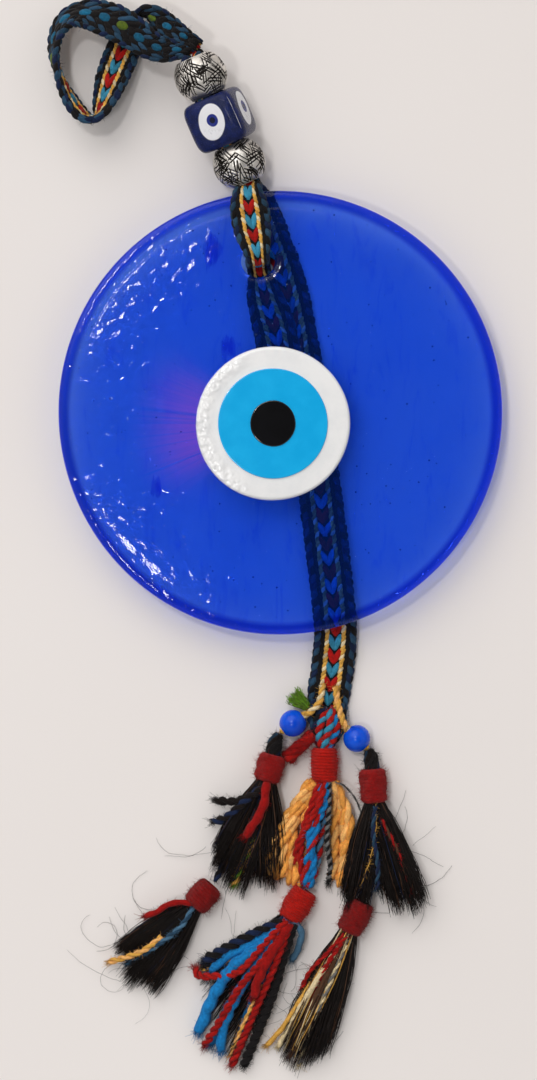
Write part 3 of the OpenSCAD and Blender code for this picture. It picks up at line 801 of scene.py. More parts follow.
def column(length, u, w, pitch, size, tilt, colours, start=0.0, lean=0.0):
    """One column of stitches: a table with s, u, w, half length, half width, half height, tilt
    and the colours repeated along it."""
    s = np.arange(start, length, pitch)
    n = len(s)
    rgb = np.array([YARN[c] for c in colours])[np.arange(n) % len(colours)]
    table = np.column_stack([s, np.full(n, u), np.full(n, w), np.tile(size, (n, 1)), np.full(n, tilt),
                             np.full(n, lean)])
    return table, rgb


def stitches(route, tables, seed, down=None):
    """Spindles on the braid: along = p cos t - q sin t, across = p sin t + q cos t, through = h.
    Their colours change a little from one stitch to the next."""
    rng = random_numbers(seed)
    table = np.concatenate([t for t, _ in tables])
    rgb = np.concatenate([c for _, c in tables])
    n = len(table)
    s, u, w, long, wide, high, tilt, lean = table.T[:, :, None, None]
    along, across, through = SPINDLE
    squeeze = np.interp(s, route.s, route.width) / 12
    p = along[None] * 2 * long * squeeze**0.35
    q = across[None] * wide / squeeze**0.35
    h = through[None] * high + lean * along[None]
    if down is not None:
        tilt = tilt * np.where(np.interp(s, route.s, route.along[:, 1]) < 0, -down, down)
    tilt = np.radians(tilt + rng.normal(0, 4, tilt.shape))
    ss = s + p * np.cos(tilt) - q * np.sin(tilt)
    uu = u + p * np.sin(tilt) + q * np.cos(tilt) + rng.normal(0, 0.07, s.shape)
    ww = w + h - 0.35 * high * (2 * along[None]) ** 2 * np.sign(w)
    points = route.at(ss, uu, ww)
    shade = rng.uniform(0.72, 1.22, (n, 1))
    colours = np.broadcast_to((rgb * shade)[:, None, None], points.shape)
    rings, sides = along.shape
    uv = np.stack([np.broadcast_to(np.abs(2 * np.arange(sides) / sides - 1), (n, rings, sides)),
                   np.broadcast_to(s + 2 * long * along[None], (n, rings, sides))], -1)
    return points, [grid_faces(n, rings, sides), cap_faces(n, rings, sides)], uv, colours


def patterned_face(length):
    """V's in the middle, a gold and cream cord each side, then black, then the slate edge."""
    tables = []
    for side in (-1, 1):
        tables.append(column(length, side * 0.78, 0.72, 4.2, (3.1, 0.98, 0.72), side * 24, ["red", "sky"],
                             0.5))
        tables.append(column(length, side * 2.42, 0.62, 1.35, (1.6, 0.62, 0.70), 28,
                             ["gold", "gold", "cream"], 0.3))
        tables.append(column(length, side * 3.7, 0.42, 3.0, (2.5, 0.80, 0.75), side * 18, ["black"], 1.0))
        tables.append(column(length, side * 5.10, 0.30, 2.3, (2.1, 0.90, 0.95), side * -20,
                             ["slate", "black", "slate", "navy"], 0.4))
        tables.append(column(length, side * 5.45, -0.25, 2.3, (2.1, 0.85, 0.95), side * 20,
                             ["slate", "navy", "black"], 1.5))
    return tables


def dark_face(length):
    """Teal ovals every six millimetres with black between, and slanting slate yarns each side."""
    tables = [
        column(length, 0, -0.78, 6.0, (2.35, 1.55, 0.62), 0, ["teal", "teal", "teal", "green", "teal"], 3.0),
        column(length, 0, -0.60, 6.0, (2.2, 1.6, 0.60), 0, ["black"], 0.0),
    ]
    for side in (-1, 1):
        tables.append(column(length, side * 2.3, -0.55, 3.0, (2.7, 0.85, 0.70), side * -30,
                             ["black", "slate", "black"], 0.8))
        tables.append(column(length, side * 3.9, -0.45, 3.0, (2.6, 0.88, 0.74), side * -30,
                             ["slate", "black"], 2.2))
    return tables


def wool_finish(name, colour=None, fibre=0.0003, variation=0.45):
    """Combed wool: a colour from the yarn attribute or one colour, darker between long fibres
    that lie along the strand, a soft sheen and a bump of the same fibres."""
    finish = Finish(name, roughness=0.9, sheen_weight=0.07, sheen_roughness=0.5)
    finish.feed("Specular IOR Level", 0.18)
    surface = finish.surface()
    fibres = finish.noise(finish.scaled(surface, (5.0, 0.9, 1)), 1.0, 4.0, 0.65, 0.4)
    loose = finish.noise(finish.place(), 900.0, 3.0, 0.6)
    amount = finish.remap(fibres * 0.6 + loose * 0.4, 0.30, 0.72, 1 - variation, 1 + variation * 0.6, False)
    base = (finish.attribute("yarn", "Color") if colour is None
            else finish.mix(loose, colour, tuple(0.8 * c for c in colour)))
    finish.feed("Base Color", finish.tinted(base, amount))
    finish.feed("Normal", finish.bump(fibres * 0.7 + loose * 0.5, fibre))
    return finish.material


braid_finish = wool_finish("braid_wool")
core_finish = wool_finish("braid_core_wool", YARN["black"], 0.0004)
print("braid finishes ready")


# %% Braid pieces
def flat_core(route, name, body, node, over_end):
    """The braid's black middle: an oval section (w/2 cos a, t/2 sin a) carried along the route."""
    a = 2 * np.pi * np.arange(16) / 16
    s = np.concatenate([[-over_end], route.s, [route.length + over_end]]) if over_end else route.s
    u = np.broadcast_to(5.0 * np.cos(a), (len(s), 16))
    w = np.broadcast_to(0.85 * np.sin(a), (len(s), 16))
    points = route.at(np.broadcast_to(s[:, None], u.shape), u, w)
    uv = np.stack([np.broadcast_to(np.abs(np.arange(16) / 8 - 1) * 6, u.shape),
                   np.broadcast_to(s[:, None], u.shape)], -1)
    piece = new_piece(name, placed(points), [grid_faces(1, len(s), 16), cap_faces(1, len(s), 16)],
                      core_finish, body, uv=uv)
    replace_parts(piece, node)
    return piece


def braid(route, label, body, node, seed, over_end=0.0):
    """The core and its stitches on both faces, run on a little past the ends when asked."""
    core = flat_core(route, label + "_core", body, node, over_end)
    tables = patterned_face(route.length) + dark_face(route.length)
    for table, _ in tables:
        table[:, 0] = table[:, 0] * (route.length + 2 * over_end) / route.length - over_end
    points, faces, uv, colours = stitches(route, tables, seed, down=1)
    yarns = new_piece(label + "_stitches", placed(points), faces, braid_finish, body, uv=uv,
                      colours=colours)
    return core, yarns


front_core, front_yarns = braid(front_route, "front_leg", "strap", "strap_front_leg", 51)
back_core, back_yarns = braid(back_route, "back_leg", "strap", "strap_back_leg", 52)
loop_core, loop_yarns = braid(loop_route, "loop", "", "strap_loop", 53, 2.6)
for piece in (loop_core, loop_yarns):
    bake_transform(piece)

# %% [markdown]
# ## Silver beads
# The two round beads are cast metal with a dense net of crossing lines cut into them, dark in
# the cuts and polished on the high spots. The ball is a profile turned about the braid, with
# flat ends and a bore. The cuts are sunk into its surface as geometry, so that they also darken
# and catch the light in the right place, and the same depth colours them.

# %% Bead shapes
def bead_frame(s):
    """The bead's middle on the line, its axis and two directions across it."""
    return on_chain(s), CHAIN, CHAIN_UP, CHAIN_LEFT


def turned(middle, axis, up, left, along, radius, angles):
    """Points middle + along axis + radius (cos a left + sin a up), for grids of along and radius."""
    c, s = np.cos(angles), np.sin(angles)
    around = c[..., None] * left + s[..., None] * up
    return middle + along[..., None] * axis + radius[..., None] * around


def engraved_cuts(angle, along, seed):
    """How deep the cut is, 0 to 1: the nearest of many short pairs of lines that cross at random
    slants over the ball's skin."""
    rng = random_numbers(seed)
    depth = np.zeros_like(angle)
    x, y = angle * SILVER_D / 2, along
    for _ in range(150):
        cx, cy = rng.uniform(-np.pi, np.pi) * SILVER_D / 2, rng.uniform(-6, 6)
        slant = np.radians(rng.choice([42, -42, 78, -66, 12]) + rng.normal(0, 10))
        half, width, gap = rng.uniform(1.1, 2.6), rng.uniform(0.13, 0.19), rng.uniform(0.75, 1.1)
        dx = (x - cx + np.pi * SILVER_D / 2) % (np.pi * SILVER_D) - np.pi * SILVER_D / 2
        p = dx * np.cos(slant) + (y - cy) * np.sin(slant)
        q = -dx * np.sin(slant) + (y - cy) * np.cos(slant)
        q = np.abs(q) - gap / 2
        past = np.clip(np.abs(p) - half, 0, None)
        depth = np.maximum(depth, np.exp(-(np.hypot(q, past) / width) ** 2))
    return depth


def silver_ball(s, seed):
    """Profile: r = sqrt(R^2 - z^2) outside, a rounded lip, and the bore back through."""
    middle, axis, up, left = bead_frame(s)
    big, half, bore = SILVER_D / 2, SILVER_L / 2, BORE / 2 + 0.02
    z = half * np.sin(np.linspace(-np.pi / 2, np.pi / 2, 150)) * 0.99
    r = np.sqrt(big**2 - z**2)
    lip = np.array([[half * 1.0, r[-1] - 0.15], [half * 1.0, bore + 0.25], [half - 0.25, bore]])
    inside = np.column_stack([np.linspace(half - 0.5, -half + 0.5, 6), np.full(6, bore)])
    start_lip = lip[::-1] * [-1, 1]
    profile = np.concatenate([np.column_stack([z, r]), lip, inside, start_lip])
    sides = 420
    a = 2 * np.pi * np.arange(sides) / sides - np.pi
    along = np.broadcast_to(profile[:, :1], (len(profile), sides))
    radius = np.broadcast_to(profile[:, 1:], along.shape).copy()
    angles = np.broadcast_to(a, along.shape)
    cut = np.zeros_like(radius)
    cut[:150] = engraved_cuts(angles[:150], along[:150], seed)
    radius -= 0.30 * cut
    points = turned(middle, axis, up, left, along, radius, angles)
    return points, [grid_faces(1, len(profile), sides, close_rows=True)], cut


def make_silver_finish():
    """Old silver plate: bright on the high metal and dark where the cuts hold tarnish."""
    finish = Finish("antique_silver", metallic=1.0)
    cut = finish.attribute("cut")
    place = finish.place()
    tarnish = finish.noise(place, 260.0, 4.0, 0.65)
    scuff = finish.noise(place, 1400.0, 2.0, 0.6)
    dark = finish.remap(cut, 0.12, 0.55)
    metal = finish.mix(finish.remap(tarnish, 0.35, 0.75), srgb(226, 222, 216), srgb(186, 181, 174))
    finish.feed("Base Color", finish.mix(dark, metal, srgb(34, 31, 29)))
    finish.feed("Roughness", finish.remap(tarnish * 0.5 + scuff * 0.5 + dark * 0.4, 0.2, 0.9, 0.26, 0.55))
    finish.feed("Normal", finish.bump(scuff * 0.4 + tarnish, 0.00012))
    return finish.material


silver_finish = make_silver_finish()
for name, node, s, seed, body in (
    ("lower_silver_ball", "lower_silver_bead", SILVER_L / 2, 61, "lower_bead"),
    ("upper_silver_ball", "upper_silver_bead", UPPER_S, 67, "upper_bead"),
):
    points, faces, cut = silver_ball(s, seed)
    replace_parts(new_piece(name, placed(points), faces, silver_finish, body,
                          values={"cut": cut}), node)

# %% [markdown]
# ## The glazed cube
# Between them sits a square ceramic bead with softly rounded edges, dipped in dark cobalt glaze
# that pools and speckles. An eye is painted on each of its four sides: a white oval, a dark ring
# and a navy middle. The shape is a superellipse turned about the bore. The painting is worked
# out in the finish from the bead's own coordinates, which stay on the bead when it turns.

# %% Cube
CUBE_ROLL = -20.0


def glazed_cube():
    """Section |x|^n + |y|^n = (w/2)^n and profile |r|^m + |z|^m the same way, n = 6, m = 5."""
    middle, axis, up, left = bead_frame(CUBE_S)
    sides, rows = 300, 150
    a = 2 * np.pi * np.arange(sides) / sides
    roll = np.radians(CUBE_ROLL)
    square = (np.abs(np.cos(a)) ** 5.5 + np.abs(np.sin(a)) ** 5.5) ** (-1 / 5.5)
    big = CUBE_W / 2 * square
    bore, half = BORE / 2 + 0.03, CUBE_L / 2
    t = np.linspace(-1, 1, rows)
    t = np.sign(t) * np.abs(t) ** 0.9 * np.radians(86)
    m = 4.2
    share = np.cos(t) ** (2 / m)
    z = half * np.sign(np.sin(t)) * np.abs(np.sin(t)) ** (2 / m)
    radius = bore + (big[None] - bore) * share[:, None]
    along = np.broadcast_to(z[:, None], radius.shape)
    wall = np.linspace(half - 0.4, 0.4 - half, 8)
    radius = np.concatenate([radius, np.full((8, sides), bore)])
    along = np.concatenate([along, np.broadcast_to(wall[:, None], (8, sides))])
    angles = np.broadcast_to(a + roll, radius.shape)
    radius[:rows] += 0.07 * ripple(a * 9 + 0 * radius[:rows], along[:rows] * 1.1, 71, low=5, high=12)
    points = turned(middle, axis, up, left, along, radius, angles)
    local = np.stack([radius * np.cos(a), radius * np.sin(a), along], -1)
    return points, [grid_faces(1, len(radius), sides, close_rows=True)], local


def make_cube_finish():
    """Dark glaze with an eye of white, blue and black rings painted on each side face."""
    finish = Finish("cobalt_glaze", coat_weight=0.04, coat_roughness=0.06)
    finish.feed("Specular IOR Level", 0.22)
    local = finish.attribute("bead_place", "Vector")
    x, y, z = finish.parts(local)
    wobble = finish.noise(local, 0.35, 2.0) * 0.9 - 0.45
    blotch = finish.noise(local, 0.55, 4.0, 0.65)
    speck = finish.specks(local, 1.7)
    glaze = finish.mix(finish.remap(blotch, 0.35, 0.7), srgb(2, 17, 62), srgb(8, 27, 88))
    # Pale purple-blue flecks and streaks over the dark glaze; the same noise roughens the glaze and feeds
    # its bump.
    pale_flecks = finish.noise(finish.scaled(local, (1, 1, 2.2)), 2.6, 5.0, 0.75)
    glaze = finish.mix(finish.remap(pale_flecks, 0.57, 0.68, 0, 0.6), glaze, srgb(70, 78, 152))
    glaze = finish.mix(finish.remap(speck, 0.07, 0.16, 0.7, 0), glaze, srgb(8, 8, 30))
    ax = x.sum("ABSOLUTE", x, 0.0)
    ay = y.sum("ABSOLUTE", y, 0.0)
    on_x = finish.remap(ax - ay, -0.3, 0.3)
    lean = np.radians(20)
    level = y * on_x + x * (1 - on_x)
    side = level * float(np.cos(lean)) + (z - 0.5) * float(np.sin(lean))
    high = (z - 0.5) * float(np.cos(lean)) - level * float(np.sin(lean))
    reach = ((side / 3.95) ** 2 + (high / 5.35) ** 2) ** 0.5 + wobble * 0.05
    white = finish.remap(reach, 0.97, 1.03, 1.0, 0.0)
    inner = (((side + 0.25) / 1.0) ** 2 + ((high - 0.5) / 1.05) ** 2) ** 0.5 + wobble * 0.35
    disc = finish.remap(inner, 1.65, 1.85, 1.0, 0.0)
    hollow = finish.remap(inner, 0.75, 0.95, 1.0, 0.0)
    scratch = finish.noise(finish.scaled(local, (1, 1, 1)), 2.4, 3.0, 0.7, 2.0)
    mark = (finish.remap(scratch, 0.60, 0.64) * finish.remap(high, -1.6, -2.2)
            * finish.remap(high, -3.9, -3.3) * finish.remap(inner, 4.4, 3.6))
    painted = finish.mix(mark * 0.6, srgb(232, 232, 236), srgb(90, 90, 110))
    colour = finish.mix(white, glaze, painted)
    colour = finish.mix(disc, colour, srgb(30, 42, 128))
    colour = finish.mix(hollow, colour, srgb(10, 14, 44))
    finish.feed("Base Color", colour)
    finish.feed("Roughness", finish.remap(blotch + pale_flecks * 0.6, 0.5, 1.3, 0.10, 0.34))
    finish.feed("Normal", finish.bump(blotch * 0.5 + pale_flecks * 0.5 + white * 0.25 + disc * 0.2, 0.00028))
    return finish.material


cube_points, cube_faces, cube_local = glazed_cube()
cube = new_piece("glazed_cube", placed(cube_points), cube_faces, make_cube_finish(), "cube",
                 values={"bead_place": cube_local})
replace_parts(cube, "cube_bead")

# %% [markdown]
# ## Small beads and their cords
# Below the plate two gold cords leave the braid, each through a round blue bead. A cord is two
# strands twisted together. `plied` winds any number of strands round a middle path, which is
# also how every loose yarn further down is made.

# %% Plied yarn
def smooth_path(knots, step=0.7):
    """A Catmull-Rom curve through a few given points, evenly spaced along its length."""
    p = np.asarray(knots, float)
    q = np.concatenate([2 * p[:1] - p[1:2], p, 2 * p[-1:] - p[-2:-1]])
    u = np.linspace(0, 1, 20, endpoint=False)[:, None]
    pieces = [
        0.5 * (2 * b + (c - a) * u + (2 * a - 5 * b + 4 * c - d) * u**2 + (3 * b - a - 3 * c + d) * u**3)
        for a, b, c, d in zip(q[:-3], q[1:-2], q[2:-1], q[3:])
    ]
    dense = np.concatenate([*pieces, p[-1:]])
    s = np.concatenate([[0], np.cumsum(np.linalg.norm(np.diff(dense, axis=0), axis=1))])
    even = np.linspace(0, s[-1], max(4, int(s[-1] / step) + 1))
    return np.column_stack([np.interp(even, s, dense[:, k]) for k in range(3)])


def path_length(path):
    return float(np.linalg.norm(np.diff(path, axis=0), axis=1).sum())


def plied(path, diameter, strands=2, pitch=4.0, fray=0.0, seed=1, phase=0.0):
    """Strand k: middle + d/4 (cos b side + sin b up), b = 2 pi (s / pitch + k / strands). Frayed
    yarn opens towards its free end."""
    rng = random_numbers(seed)
    _, side, up = frames(path)
    s = np.concatenate([[0], np.cumsum(np.linalg.norm(np.diff(path, axis=0), axis=1))])
    b = 2 * np.pi * (s[None] / pitch + np.arange(strands)[:, None] / strands) + phase
    share = s / s[-1]
    apart, thick = {1: (0.04, 0.48), 2: (0.22, 0.31)}.get(strands, (0.26, 0.28))
    off = diameter * apart * (1 + fray * share[None] ** 4 * rng.uniform(0.5, 1.4, (strands, 1)))
    wind = off[..., None] * (np.cos(b)[..., None] * side[None] + np.sin(b)[..., None] * up[None])
    paths = path[None] + wind
    lumps = np.sin(2 * np.pi * (s[None] / rng.uniform(3, 6, (strands, 1)) + rng.uniform(0, 1, (strands, 1))))
    radii = diameter * thick * (1 + 0.09 * lumps)
    radii[:, -1] *= 0.5
    return paths, radii


FIBRES = {}


def yarn_piece(name, path, diameter, colours, body, slot, strands=2, pitch=4.0, fray=0.0, seed=1, sides=7,
               material=None):
    """One plied yarn whose strands take the given colours in turn. Short loose fibres along it
    and a small brush at its free end are kept for one piece per body later."""
    rng = random_numbers(seed + 9)
    paths, radii = plied(path, diameter, strands, pitch, fray, seed)
    points, faces, uv = tubes(paths, radii, sides)
    rgb = np.array([YARN[c] for c in colours])[np.arange(strands) % len(colours)]
    tone = np.broadcast_to(rgb[:, None, None], points.shape)
    piece = new_piece(name, placed(points), faces, material or yarn_wool, body, uv=uv, colours=tone)
    count = int(10 * path_length(path) * diameter**0.5)
    along = rng.integers(0, paths.shape[1], count)
    start = paths[rng.integers(0, strands, count), along]
    aim = unit(rng.normal(0, 1, (count, 3)))
    t = np.linspace(0, 1, 5)[None, :, None]
    size = diameter * 0.3 + rng.uniform(0.2, 1.1, count)
    fibres = start[:, None] + size[:, None, None] * (t * aim[:, None] + 0.4 * t**2
                                                     * unit(rng.normal(0, 1, (count, 3)))[:, None])
    shed = FIBRES.setdefault((body, slot), [])
    shed.append((*tubes(fibres, np.full((count, 5), 0.045), 3), rgb[0]))
    if fray:
        count = int(26 * diameter)
        run = unit(path[-1] - path[-3])
        start = path[-2] + rng.normal(0, 0.2 * diameter, (count, 3))
        aim = unit(run + rng.normal(0, 0.32, (count, 3)))
        size = rng.uniform(0.8, 2.6, count)
        brush = start[:, None] + size[:, None, None] * (t * aim[:, None] + 0.25 * t**2
                                                        * rng.normal(0, 1, (count, 1, 3)))
        shed.append((*tubes(brush, np.full((count, 5), 0.08) * np.linspace(1, 0.5, 5), 3), rgb[-1]))
    return piece


YARN.update({
    "orange": srgb(240, 164, 76), "peach": srgb(244, 184, 108), "blue": srgb(20, 122, 188),
    "deep_blue": srgb(12, 84, 132),
    "crimson": srgb(150, 10, 8), "grey": srgb(120, 118, 116), "brown": srgb(84, 56, 38),
    "hair": srgb(21, 13, 10),
    "lime": srgb(112, 160, 36), "blue_grey": srgb(74, 112, 140), "pink": srgb(200, 110, 110),
})
yarn_wool = wool_finish("yarn_wool", None, 0.00025, 0.5)


# %% Bead cords and round beads
BEAD_D = 8.0
LEFT_BEAD, RIGHT_BEAD = np.array([3.8, -91.7, 4.2]), np.array([22.7, -96.2, 4.2])
LEFT_CORD, RIGHT_CORD = 215.5, 315.0


def bead_cord_path(bead, angle):
    d = heading(angle)
    return smooth_path([bead - 5.6 * d + [0, 0, 0.2], bead - 3 * d, bead, bead + 3 * d, bead + 4.5 * d])


for label, bead, angle, seed in (("left", LEFT_BEAD, LEFT_CORD, 71), ("right", RIGHT_BEAD, RIGHT_CORD, 72)):
    cord = yarn_piece(label + "_gold_cord", bead_cord_path(bead, angle), 2.5, ["gold", "cream"], "strap",
                      "gold_yarn", pitch=3.0)
    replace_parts(cord, label + "_bead_cord")


def round_bead(middle, angle, seed):
    """Profile: a circle outside, a lip, and the bore back through, with slow dents."""
    axis, up = heading(angle), np.array([0.0, 0.0, 1.0])
    left = np.cross(up, axis)
    big, bore = BEAD_D / 2, 1.34
    t = np.linspace(-1, 1, 60) * (np.pi / 2 - np.arcsin((bore + 0.25) / big))
    z, r = big * np.sin(t), big * np.cos(t)
    lip = np.array([[z[-1] - 0.02, bore + 0.08], [z[-1] - 0.25, bore]])
    inside = np.column_stack([np.linspace(z[-1] - 0.6, -z[-1] + 0.6, 5), np.full(5, bore)])
    profile = np.concatenate([np.column_stack([z, r]), lip, inside, lip[::-1] * [-1, 1]])
    sides = 120
    a = 2 * np.pi * np.arange(sides) / sides
    along = np.broadcast_to(profile[:, :1], (len(profile), sides))
    radius = np.broadcast_to(profile[:, 1:], along.shape).copy()
    radius[:60] += 0.03 * ripple(np.cos(a) * 4 + 0 * radius[:60], along[:60] + np.sin(a) * 4, seed, low=5,
                                 high=9)
    return turned(middle, axis, up, left, along, radius, np.broadcast_to(a, along.shape)), [
        grid_faces(1, len(profile), sides, close_rows=True)
    ]


def make_bead_finish():
    """Blue moulded plastic with a soft gloss."""
    finish = Finish("blue_plastic", roughness=0.25, coat_weight=0.0)
    finish.feed("Specular IOR Level", 0.28)
    cloud = finish.noise(finish.place(), 350.0, 3.0)
    finish.feed("Base Color", finish.mix(finish.remap(cloud, 0.35, 0.65), srgb(4, 82, 214),
                                         srgb(2, 66, 196)))
    finish.feed("Normal", finish.bump(cloud, 0.00006))
    return finish.material


bead_finish = make_bead_finish()
for label, bead, angle, seed in (("left", LEFT_BEAD, LEFT_CORD, 81), ("right", RIGHT_BEAD, RIGHT_CORD, 82)):
    points, faces = round_bead(bead, angle, seed)
    piece = new_piece(label + "_blue_ball", placed(points), faces, bead_finish, label + "_bead")
    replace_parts(piece, label + "_round_bead")

# %% [markdown]
# ## Wool bindings
# Each tassel is held by red yarn wound tightly round it. Some windings are felted so that the
# turns hardly show, and two show every turn. The binding is a tube whose radius rises and falls
# once for every turn and whose ends round off into the bore, with a few loose fibres outside.

# %% Binding and fuzz
WRAP_D, CORE_D = 7.6, 5.0


def binding(top, angle, length, turns, ridge, seed, swell=0.42):
    """r = R + ridge |sin(pi turns z / length + a / 2)| + swell sin(pi z / length) + lumps."""
    axis, up = heading(angle), np.array([0.0, 0.0, 1.0])
    left = np.cross(up, axis)
    sides, rows = 96, 120
    a = 2 * np.pi * np.arange(sides) / sides
    z = np.linspace(0, length, rows)
    edge = np.sqrt(np.clip(np.minimum(z, length - z) / 0.9, 0, 1))
    body = WRAP_D / 2 - 0.1 + swell * np.sin(np.pi * z / length)
    wave = ridge * np.abs(np.sin(np.pi * turns * z[:, None] / length + a[None] / 2)) ** 0.7
    r = (body[:, None] - ridge + wave) - 0.9 * (1 - edge)[:, None]
    r += 0.26 * ripple(3 * np.cos(a)[None] + 0 * r, z[:, None] + 3 * np.sin(a)[None], seed, low=2, high=6)
    bore = CORE_D / 2 + 0.06
    inner = np.linspace(length - 0.2, 0.2, 8)
    radius = np.concatenate([r, np.full((8, sides), bore)])
    along = np.concatenate([np.broadcast_to(z[:, None], r.shape),
                            np.broadcast_to(inner[:, None], (8, sides))])
    angles = np.broadcast_to(a, radius.shape)
    points = turned(np.asarray(top, float), axis, up, left, along, radius, angles)
    points[..., 2] = np.maximum(points[..., 2], 0.12)
    uv = np.stack([along * 2.2, angles * WRAP_D / 2], -1)
    outward = points[:rows] - (top + along[:rows, :, None] * axis)
    return points, [grid_faces(1, len(radius), sides, close_rows=True)], uv, points[:rows], outward


def fuzz(points, normals, count, length, thick, seed, lean=0.7):
    """Loose fibres: from random spots on a surface, out along its normal, then bending away."""
    rng = random_numbers(seed)
    flat_points, flat_normals = points.reshape(-1, 3), unit(normals.reshape(-1, 3))
    pick = rng.integers(0, len(flat_points), count)
    pick = pick[flat_normals[pick, 2] > -0.2]
    n = len(pick)
    aim = unit(flat_normals[pick] + lean * rng.normal(0, 1, (n, 3)))
    bend = unit(rng.normal(0, 1, (n, 3)))
    t = np.linspace(0, 1, 6)[None, :, None]
    size = (length * rng.uniform(0.35, 1.2, n))[:, None, None]
    paths = flat_points[pick][:, None] + size * (t * aim[:, None] * (1 - 0.35 * t) + 0.55 * t**2
                                                 * bend[:, None])
    paths[..., 2] = np.maximum(paths[..., 2], 0.1)
    return tubes(paths, np.linspace(1, 0.4, 6)[None] * thick, 3)


felt_red = wool_finish("felted_red_wool", srgb(172, 14, 12), 0.0006, 0.5)
wound_red = wool_finish("wound_red_wool", srgb(196, 22, 8), 0.0003, 0.4)
dark_red = wool_finish("dark_red_wool", srgb(150, 10, 8), 0.0006, 0.5)
BINDINGS = [
    ("left_upper_binding", [-1.99, -100.85, 4.0], 255, 8.2, 7, 0.12, felt_red, "left_tassel", 91),
    ("left_lower_binding", [-20.05, -139.58, 4.0], 228, 8.2, 8, 0.16, dark_red, "left_lower_tassel", 92),
    ("centre_upper_binding", [13.1, -98.9, 4.0], 270, 10.0, 11, 0.34, wound_red, "centre_tassel", 93),
    ("centre_lower_binding", [7.55, -140.95, 4.0], 240, 10.0, 12, 0.34, wound_red, "centre_lower_tassel",
     94),
    ("right_upper_binding", [27.16, -105.06, 4.6], 274, 10.0, 9, 0.14, felt_red, "right_tassel", 95),
    ("right_lower_binding", [24.4, -144.44, 4.0], 245, 10.0, 9, 0.16, dark_red, "right_lower_tassel", 96),
]
for name, top, angle, length, turns, ridge, finish, body, seed in BINDINGS:
    points, faces, uv, skin, outward = binding(np.array(top), angle, length, turns, ridge, seed)
    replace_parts(new_piece(name + "_wool", placed(points), faces, finish, body, uv=uv), name)
    points, faces, uv = fuzz(skin, outward, 900, 1.5, 0.045, seed + 100)
    new_piece(name + "_fuzz", placed(points), faces, finish, body, uv=uv)

# %% [markdown]
# ## Black hair fringes
# The tassels are coarse black hair that spreads into locks and lies on the table. A hair starts
# inside its binding, fans out by its own angle, bows and wavers a little and sinks to the
# table. Hairs share the angle of a lock, so the ends gather into points. A hair has three sides
# only, which is all that shows at its width.

# %% Fringe
def fringe_paths(start, spread, reach, heights, count, seed, bundle=2.2, locks=13, bow=2.2, waver=0.5,
                 rings=10, lead=5.0):
    """P(t) = start + t (end - start) + bow 4t(1-t) side + waver t (sines), sinking from the
    binding's height to the hair's own height on the pile."""
    rng = random_numbers(seed)
    lock = rng.integers(0, locks, count)
    lock_share = (np.arange(locks) + rng.uniform(0.1, 0.9, locks)) / locks
    share = np.clip(lock_share[lock] + rng.normal(0, 0.045, count), 0, 1)
    lock_reach = rng.uniform(0.82, 1.0, locks)
    angle = spread[0] + (spread[1] - spread[0]) * share
    middle = np.mean(spread)
    side = heading(middle + 90)
    length = (np.interp(share, np.linspace(0, 1, len(reach)), reach)
              * lock_reach[lock] * rng.uniform(0.86, 1.06, count))
    root = start + np.outer((2 * share - 1) * bundle, side) + rng.normal(0, 0.25, (count, 3))
    root[:, 2] = (start[2] + rng.uniform(-1.5, 1.5, count)
                  * np.sqrt(np.clip(1 - (2 * share - 1) ** 2, 0.1, 1)))
    end = start + length[:, None] * heading(angle) + rng.normal(0, 0.5, (count, 3))
    end[:, 2] = heights[0] + (heights[1] - heights[0]) * rng.uniform(0, 1, count) ** 2
    t = np.linspace(-lead / np.mean(reach), 1, rings)[None, :, None]
    q = np.clip(t, 0, 1)
    run = root[:, None] + t * (end - root)[:, None]
    inside = t < 0
    run = np.where(inside, root[:, None] + t * length[:, None, None] * heading(middle), run)
    across = unit(np.cross([0, 0, 1.0], (end - root) * [1, 1, 0]))
    wave = np.sin(2 * np.pi * (q * rng.uniform(0.7, 2.0, (count, 1, 1)) + rng.uniform(0, 1, (count, 1, 1))))
    swing = (bow * 4 * q * (1 - q)
             * (rng.normal(0, 0.35, (count, 1, 1)) - 0.6 * (share[:, None, None] - 0.5) * 2 * -1))
    run = run + across[:, None] * (swing * 0.6 + waver * q * wave * rng.uniform(0.3, 1.5, (count, 1, 1)))
    settle = 1 - (1 - q[..., 0]) ** 1.6
    run[..., 2] = (root[:, None, 2] * (1 - settle) + end[:, None, 2] * settle
                   + 0.9 * np.sin(np.pi * q[..., 0]) * rng.uniform(0, 1, (count, 1)))
    run[..., 2] = np.maximum(run[..., 2], 0.25)
    return run


def hair_finish():
    """Coarse hair: nearly black, with a dull gloss and a slight change of tone from hair to hair."""
    finish = Finish("coarse_black_hair", roughness=0.62)
    finish.feed("Specular IOR Level", 0.22)
    surface = finish.surface()
    grain = finish.noise(finish.scaled(surface, (2.0, 0.6, 1)), 1.0, 3.0, 0.6)
    finish.feed("Base Color", finish.tinted(finish.attribute("yarn", "Color"),
                                            finish.remap(grain, 0.3, 0.7, 0.6, 1.5, False)))
    finish.feed("Normal", finish.bump(grain, 0.0001))
    return finish.material


black_hair = hair_finish()


def hair_piece(name, paths, radius, mixture, body, seed, node=None, finish=None, tip=0.3):
    """Three-sided hairs whose colours are drawn from a mixture of named yarns and shares."""
    rng = random_numbers(seed)
    names, shares = zip(*mixture.items())
    pick = rng.choice(len(names), len(paths), p=np.array(shares) / sum(shares))
    rgb = np.array([YARN[c] for c in names])[pick] * rng.uniform(0.6, 1.4, (len(paths), 1))
    points, faces, uv = tubes(paths, tapered(len(paths), paths.shape[1], radius, tip, seed + 1), 3)
    tone = np.broadcast_to(rgb[:, None, None], points.shape)
    piece = new_piece(name, placed(points), faces, finish or black_hair, body, uv=uv, colours=tone)
    if node:
        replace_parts(piece, node)
    return piece


